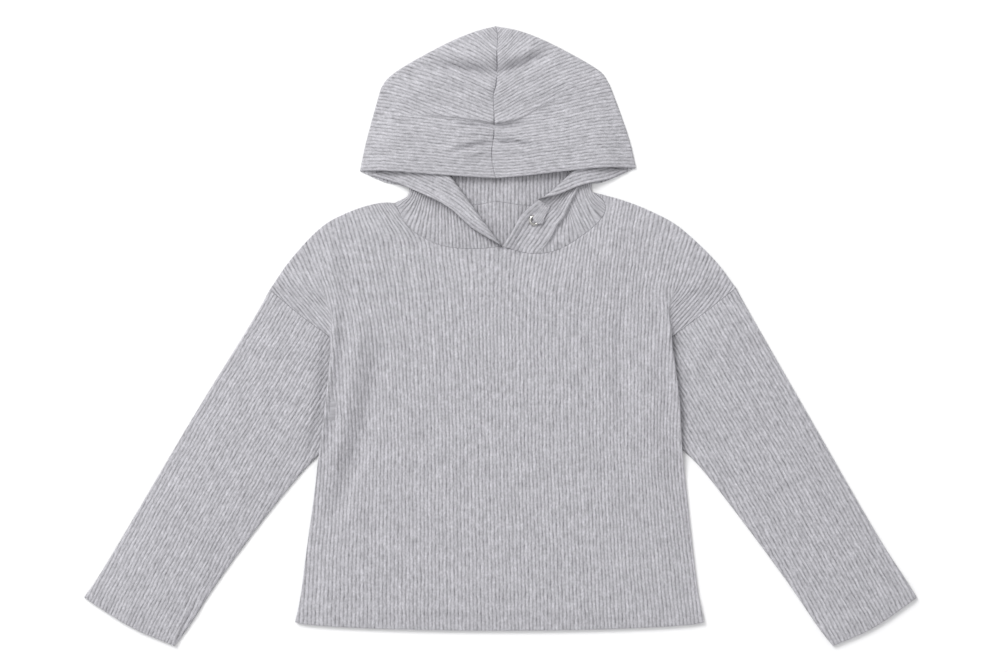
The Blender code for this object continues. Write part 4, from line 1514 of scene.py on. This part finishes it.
class Graph:
    """A material of a given look, and short ways to add nodes to it."""

    def __init__(self, name, look):
        self.material = bpy.data.materials.new(name)
        self.material.use_nodes = True
        self.tree = self.material.node_tree
        self.shader = self.tree.nodes["Principled BSDF"]
        set_inputs(self.shader, look)

    def node(self, kind, **values):
        made = self.tree.nodes.new(kind)
        for key, value in values.items():
            setattr(made, key, value)
        return made

    def feed(self, socket, value):
        if isinstance(value, bpy.types.NodeSocket):
            self.tree.links.new(value, socket)
        else:
            socket.default_value = value

    def math(self, operation, *values):
        made = self.node("ShaderNodeMath", operation=operation)
        for socket, value in zip(made.inputs, values):
            self.feed(socket, value)
        return made.outputs[0]

    def noise(self, vector, scale, detail, roughness=NOISE_ROUGHNESS):
        """Noise over a vector that is scaled along each axis."""
        scaled = self.node("ShaderNodeVectorMath", operation="MULTIPLY")
        self.feed(scaled.inputs[0], vector)
        scaled.inputs[1].default_value = scale
        made = self.node("ShaderNodeTexNoise")
        set_inputs(made, {"Scale": 1.0, "Detail": detail, "Roughness": roughness})
        self.feed(made.inputs["Vector"], scaled.outputs[0])
        return made.outputs["Fac"]

    def spread(self, noise, low, high):
        """A noise spread out to go from low to high."""
        made = self.node("ShaderNodeMapRange")
        set_inputs(made, {"From Min": NOISE_LOW, "From Max": NOISE_HIGH, "To Min": low, "To Max": high})
        self.feed(made.inputs["Value"], noise)
        return made.outputs[0]


def knit_material():
    """Heathered grey rib: pale ridges, grooves darkened with painted shade, flecks along the ribs and soft
    stitches.
    """
    g = Graph("grey_rib_knit", KNIT_LOOK)
    uv = g.node("ShaderNodeUVMap", uv_map="knit").outputs[0]
    parts = g.node("ShaderNodeSeparateXYZ")
    g.feed(parts.inputs[0], uv)
    u, v = parts.outputs[0], parts.outputs[1]
    # Painted shade: the colour darkens towards each groove, by a share that varies from place to place, for
    # the shade that falls in the grooves.
    ridge = g.math("ABSOLUTE", g.math("SINE", g.math("MULTIPLY", u, math.pi)))
    groove_shade_mask = g.math("POWER", g.math("SUBTRACT", 1.0, ridge), GROOVE_SHADE_SHARPNESS)
    least, most = (share * GROOVE_PAINTED_SHADE for share in GROOVE_SHADE_SHARES)
    depth = g.math("MULTIPLY", groove_shade_mask, g.spread(g.noise(uv, GROOVE_SHADE_SCALE, 2.0), least, most))
    shade_and_flecks = g.math("SUBTRACT", 1.0, depth)
    # The flecks are the yarn's own colour, laid over the painted groove shade.
    for across, along, detail, amount in FLECKS:
        cells = g.noise(uv, (across, along, 1.0), detail, FLECK_ROUGHNESS)
        shade_and_flecks = g.math("MULTIPLY", shade_and_flecks, g.spread(cells, 1 - amount, 1 + amount))
    colour = g.node("ShaderNodeVectorMath", operation="SCALE")
    colour.inputs[0].default_value = KNIT_COLOUR
    g.feed(colour.inputs["Scale"], shade_and_flecks)
    g.feed(g.shader.inputs["Base Color"], colour.outputs[0])
    course = g.math("MULTIPLY", v, STITCHES_A_PITCH)
    off_ridge = g.math("ABSOLUTE", g.math("SUBTRACT", g.math("FRACT", u), 0.5))
    phase = g.math("ADD", course, g.math("MULTIPLY", off_ridge, STITCH_LEAN))
    stitch = g.math("MULTIPLY", g.math("SINE", g.math("MULTIPLY", phase, 2 * math.pi)), STITCH_HEIGHT)
    fuzz = g.math("MULTIPLY", g.noise(uv, FUZZ_SCALE, 3.0), FUZZ_HEIGHT)
    bump = g.node("ShaderNodeBump")
    set_inputs(bump, KNIT_BUMP)
    g.feed(bump.inputs["Height"], g.math("ADD", stitch, fuzz))
    g.feed(g.shader.inputs["Normal"], bump.outputs[0])
    return g.material


def metal_material():
    """Polished nickel with faint scratches round it."""
    g = Graph("polished_nickel", METAL_LOOK)
    where = g.node("ShaderNodeTexCoord").outputs["Object"]
    g.feed(g.shader.inputs["Roughness"], g.spread(g.noise(where, SCRATCH_SCALE, 3.0), *SCRATCHED))
    return g.material


# --- The stage -----------------------------------------------------------------------------------------


def make_stage():
    mesh = bpy.data.meshes.new("floor")
    corners = [(x * FLOOR_HALF, y * FLOOR_HALF, 0) for x, y in ((-1, -1), (1, -1), (1, 1), (-1, 1))]
    mesh.from_pydata(corners, [], [(0, 1, 2, 3)])
    mesh.materials.append(Graph("white_floor", FLOOR_LOOK).material)
    floor = add_object("floor", mesh)
    floor.location.z = cad_bounds[0][2] - FLOOR_GAP


def make_lights():
    """A dome of light, whose strength goes by the angle from its axis, and two lamps."""
    world = bpy.data.worlds.new("studio")
    bpy.context.scene.world = world
    world.use_nodes = True
    tree = world.node_tree
    background = tree.nodes["Background"]
    background.inputs["Color"].default_value = DOME_COLOUR
    where = tree.nodes.new("ShaderNodeTexCoord")
    toward = tree.nodes.new("ShaderNodeVectorMath")
    toward.operation = "DOT_PRODUCT"
    toward.inputs[1].default_value = DOME_AXIS
    dome = tree.nodes.new("ShaderNodeMapRange")
    dome.interpolation_type = "SMOOTHSTEP"
    set_inputs(dome, {"From Min": 0.0, "From Max": DOME_TOP, "To Min": HORIZON, "To Max": ZENITH})
    tree.links.new(where.outputs["Generated"], toward.inputs[0])
    tree.links.new(toward.outputs["Value"], dome.inputs["Value"])
    tree.links.new(dome.outputs[0], background.inputs["Strength"])
    for name, place, size, power in LAMPS:
        lamp = bpy.data.lights.new(name, "AREA")
        lamp.shape, lamp.size, lamp.energy = "DISK", size, power
        obj = add_object(name, lamp)
        obj.location = place
        obj.rotation_euler = (-Vector(place)).to_track_quat("-Z", "Y").to_euler()


def make_camera():
    camera = bpy.data.cameras.new("camera")
    camera.sensor_width, camera.lens = SENSOR, LENS
    obj = add_object("camera", camera)
    obj.location = (FRAME_MIDDLE_X, 0.0, FRAME_WIDTH * LENS / SENSOR)
    bpy.context.scene.camera = obj
    bpy.context.scene.view_settings.view_transform = "Standard"


def main():
    make_camera()
    middle = plan_middle()
    knit = knit_material()
    cloths = [
        make_back_panel(),
        make_front_panel(),
        make_sleeve("sleeve_left", LEFT),
        make_sleeve("sleeve_right", RIGHT),
        make_hood_half("hood_left", LEFT),
        make_hood_half("hood_right", RIGHT),
    ]
    for cloth in cloths:
        piece = cloth.build(middle, knit)
        node = cloth.name
        piece.name = node + "_knit"
        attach(piece, "root")
        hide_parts(node)
        flat_size = FLAT_SIZES[node]
        if node == "hood_right":
            tongue = make_tongue().build(middle, knit)
            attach(tongue, "root")
        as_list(flat_size.rests_on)
    make_eyelet()
    make_stage()
    make_lights()


main()
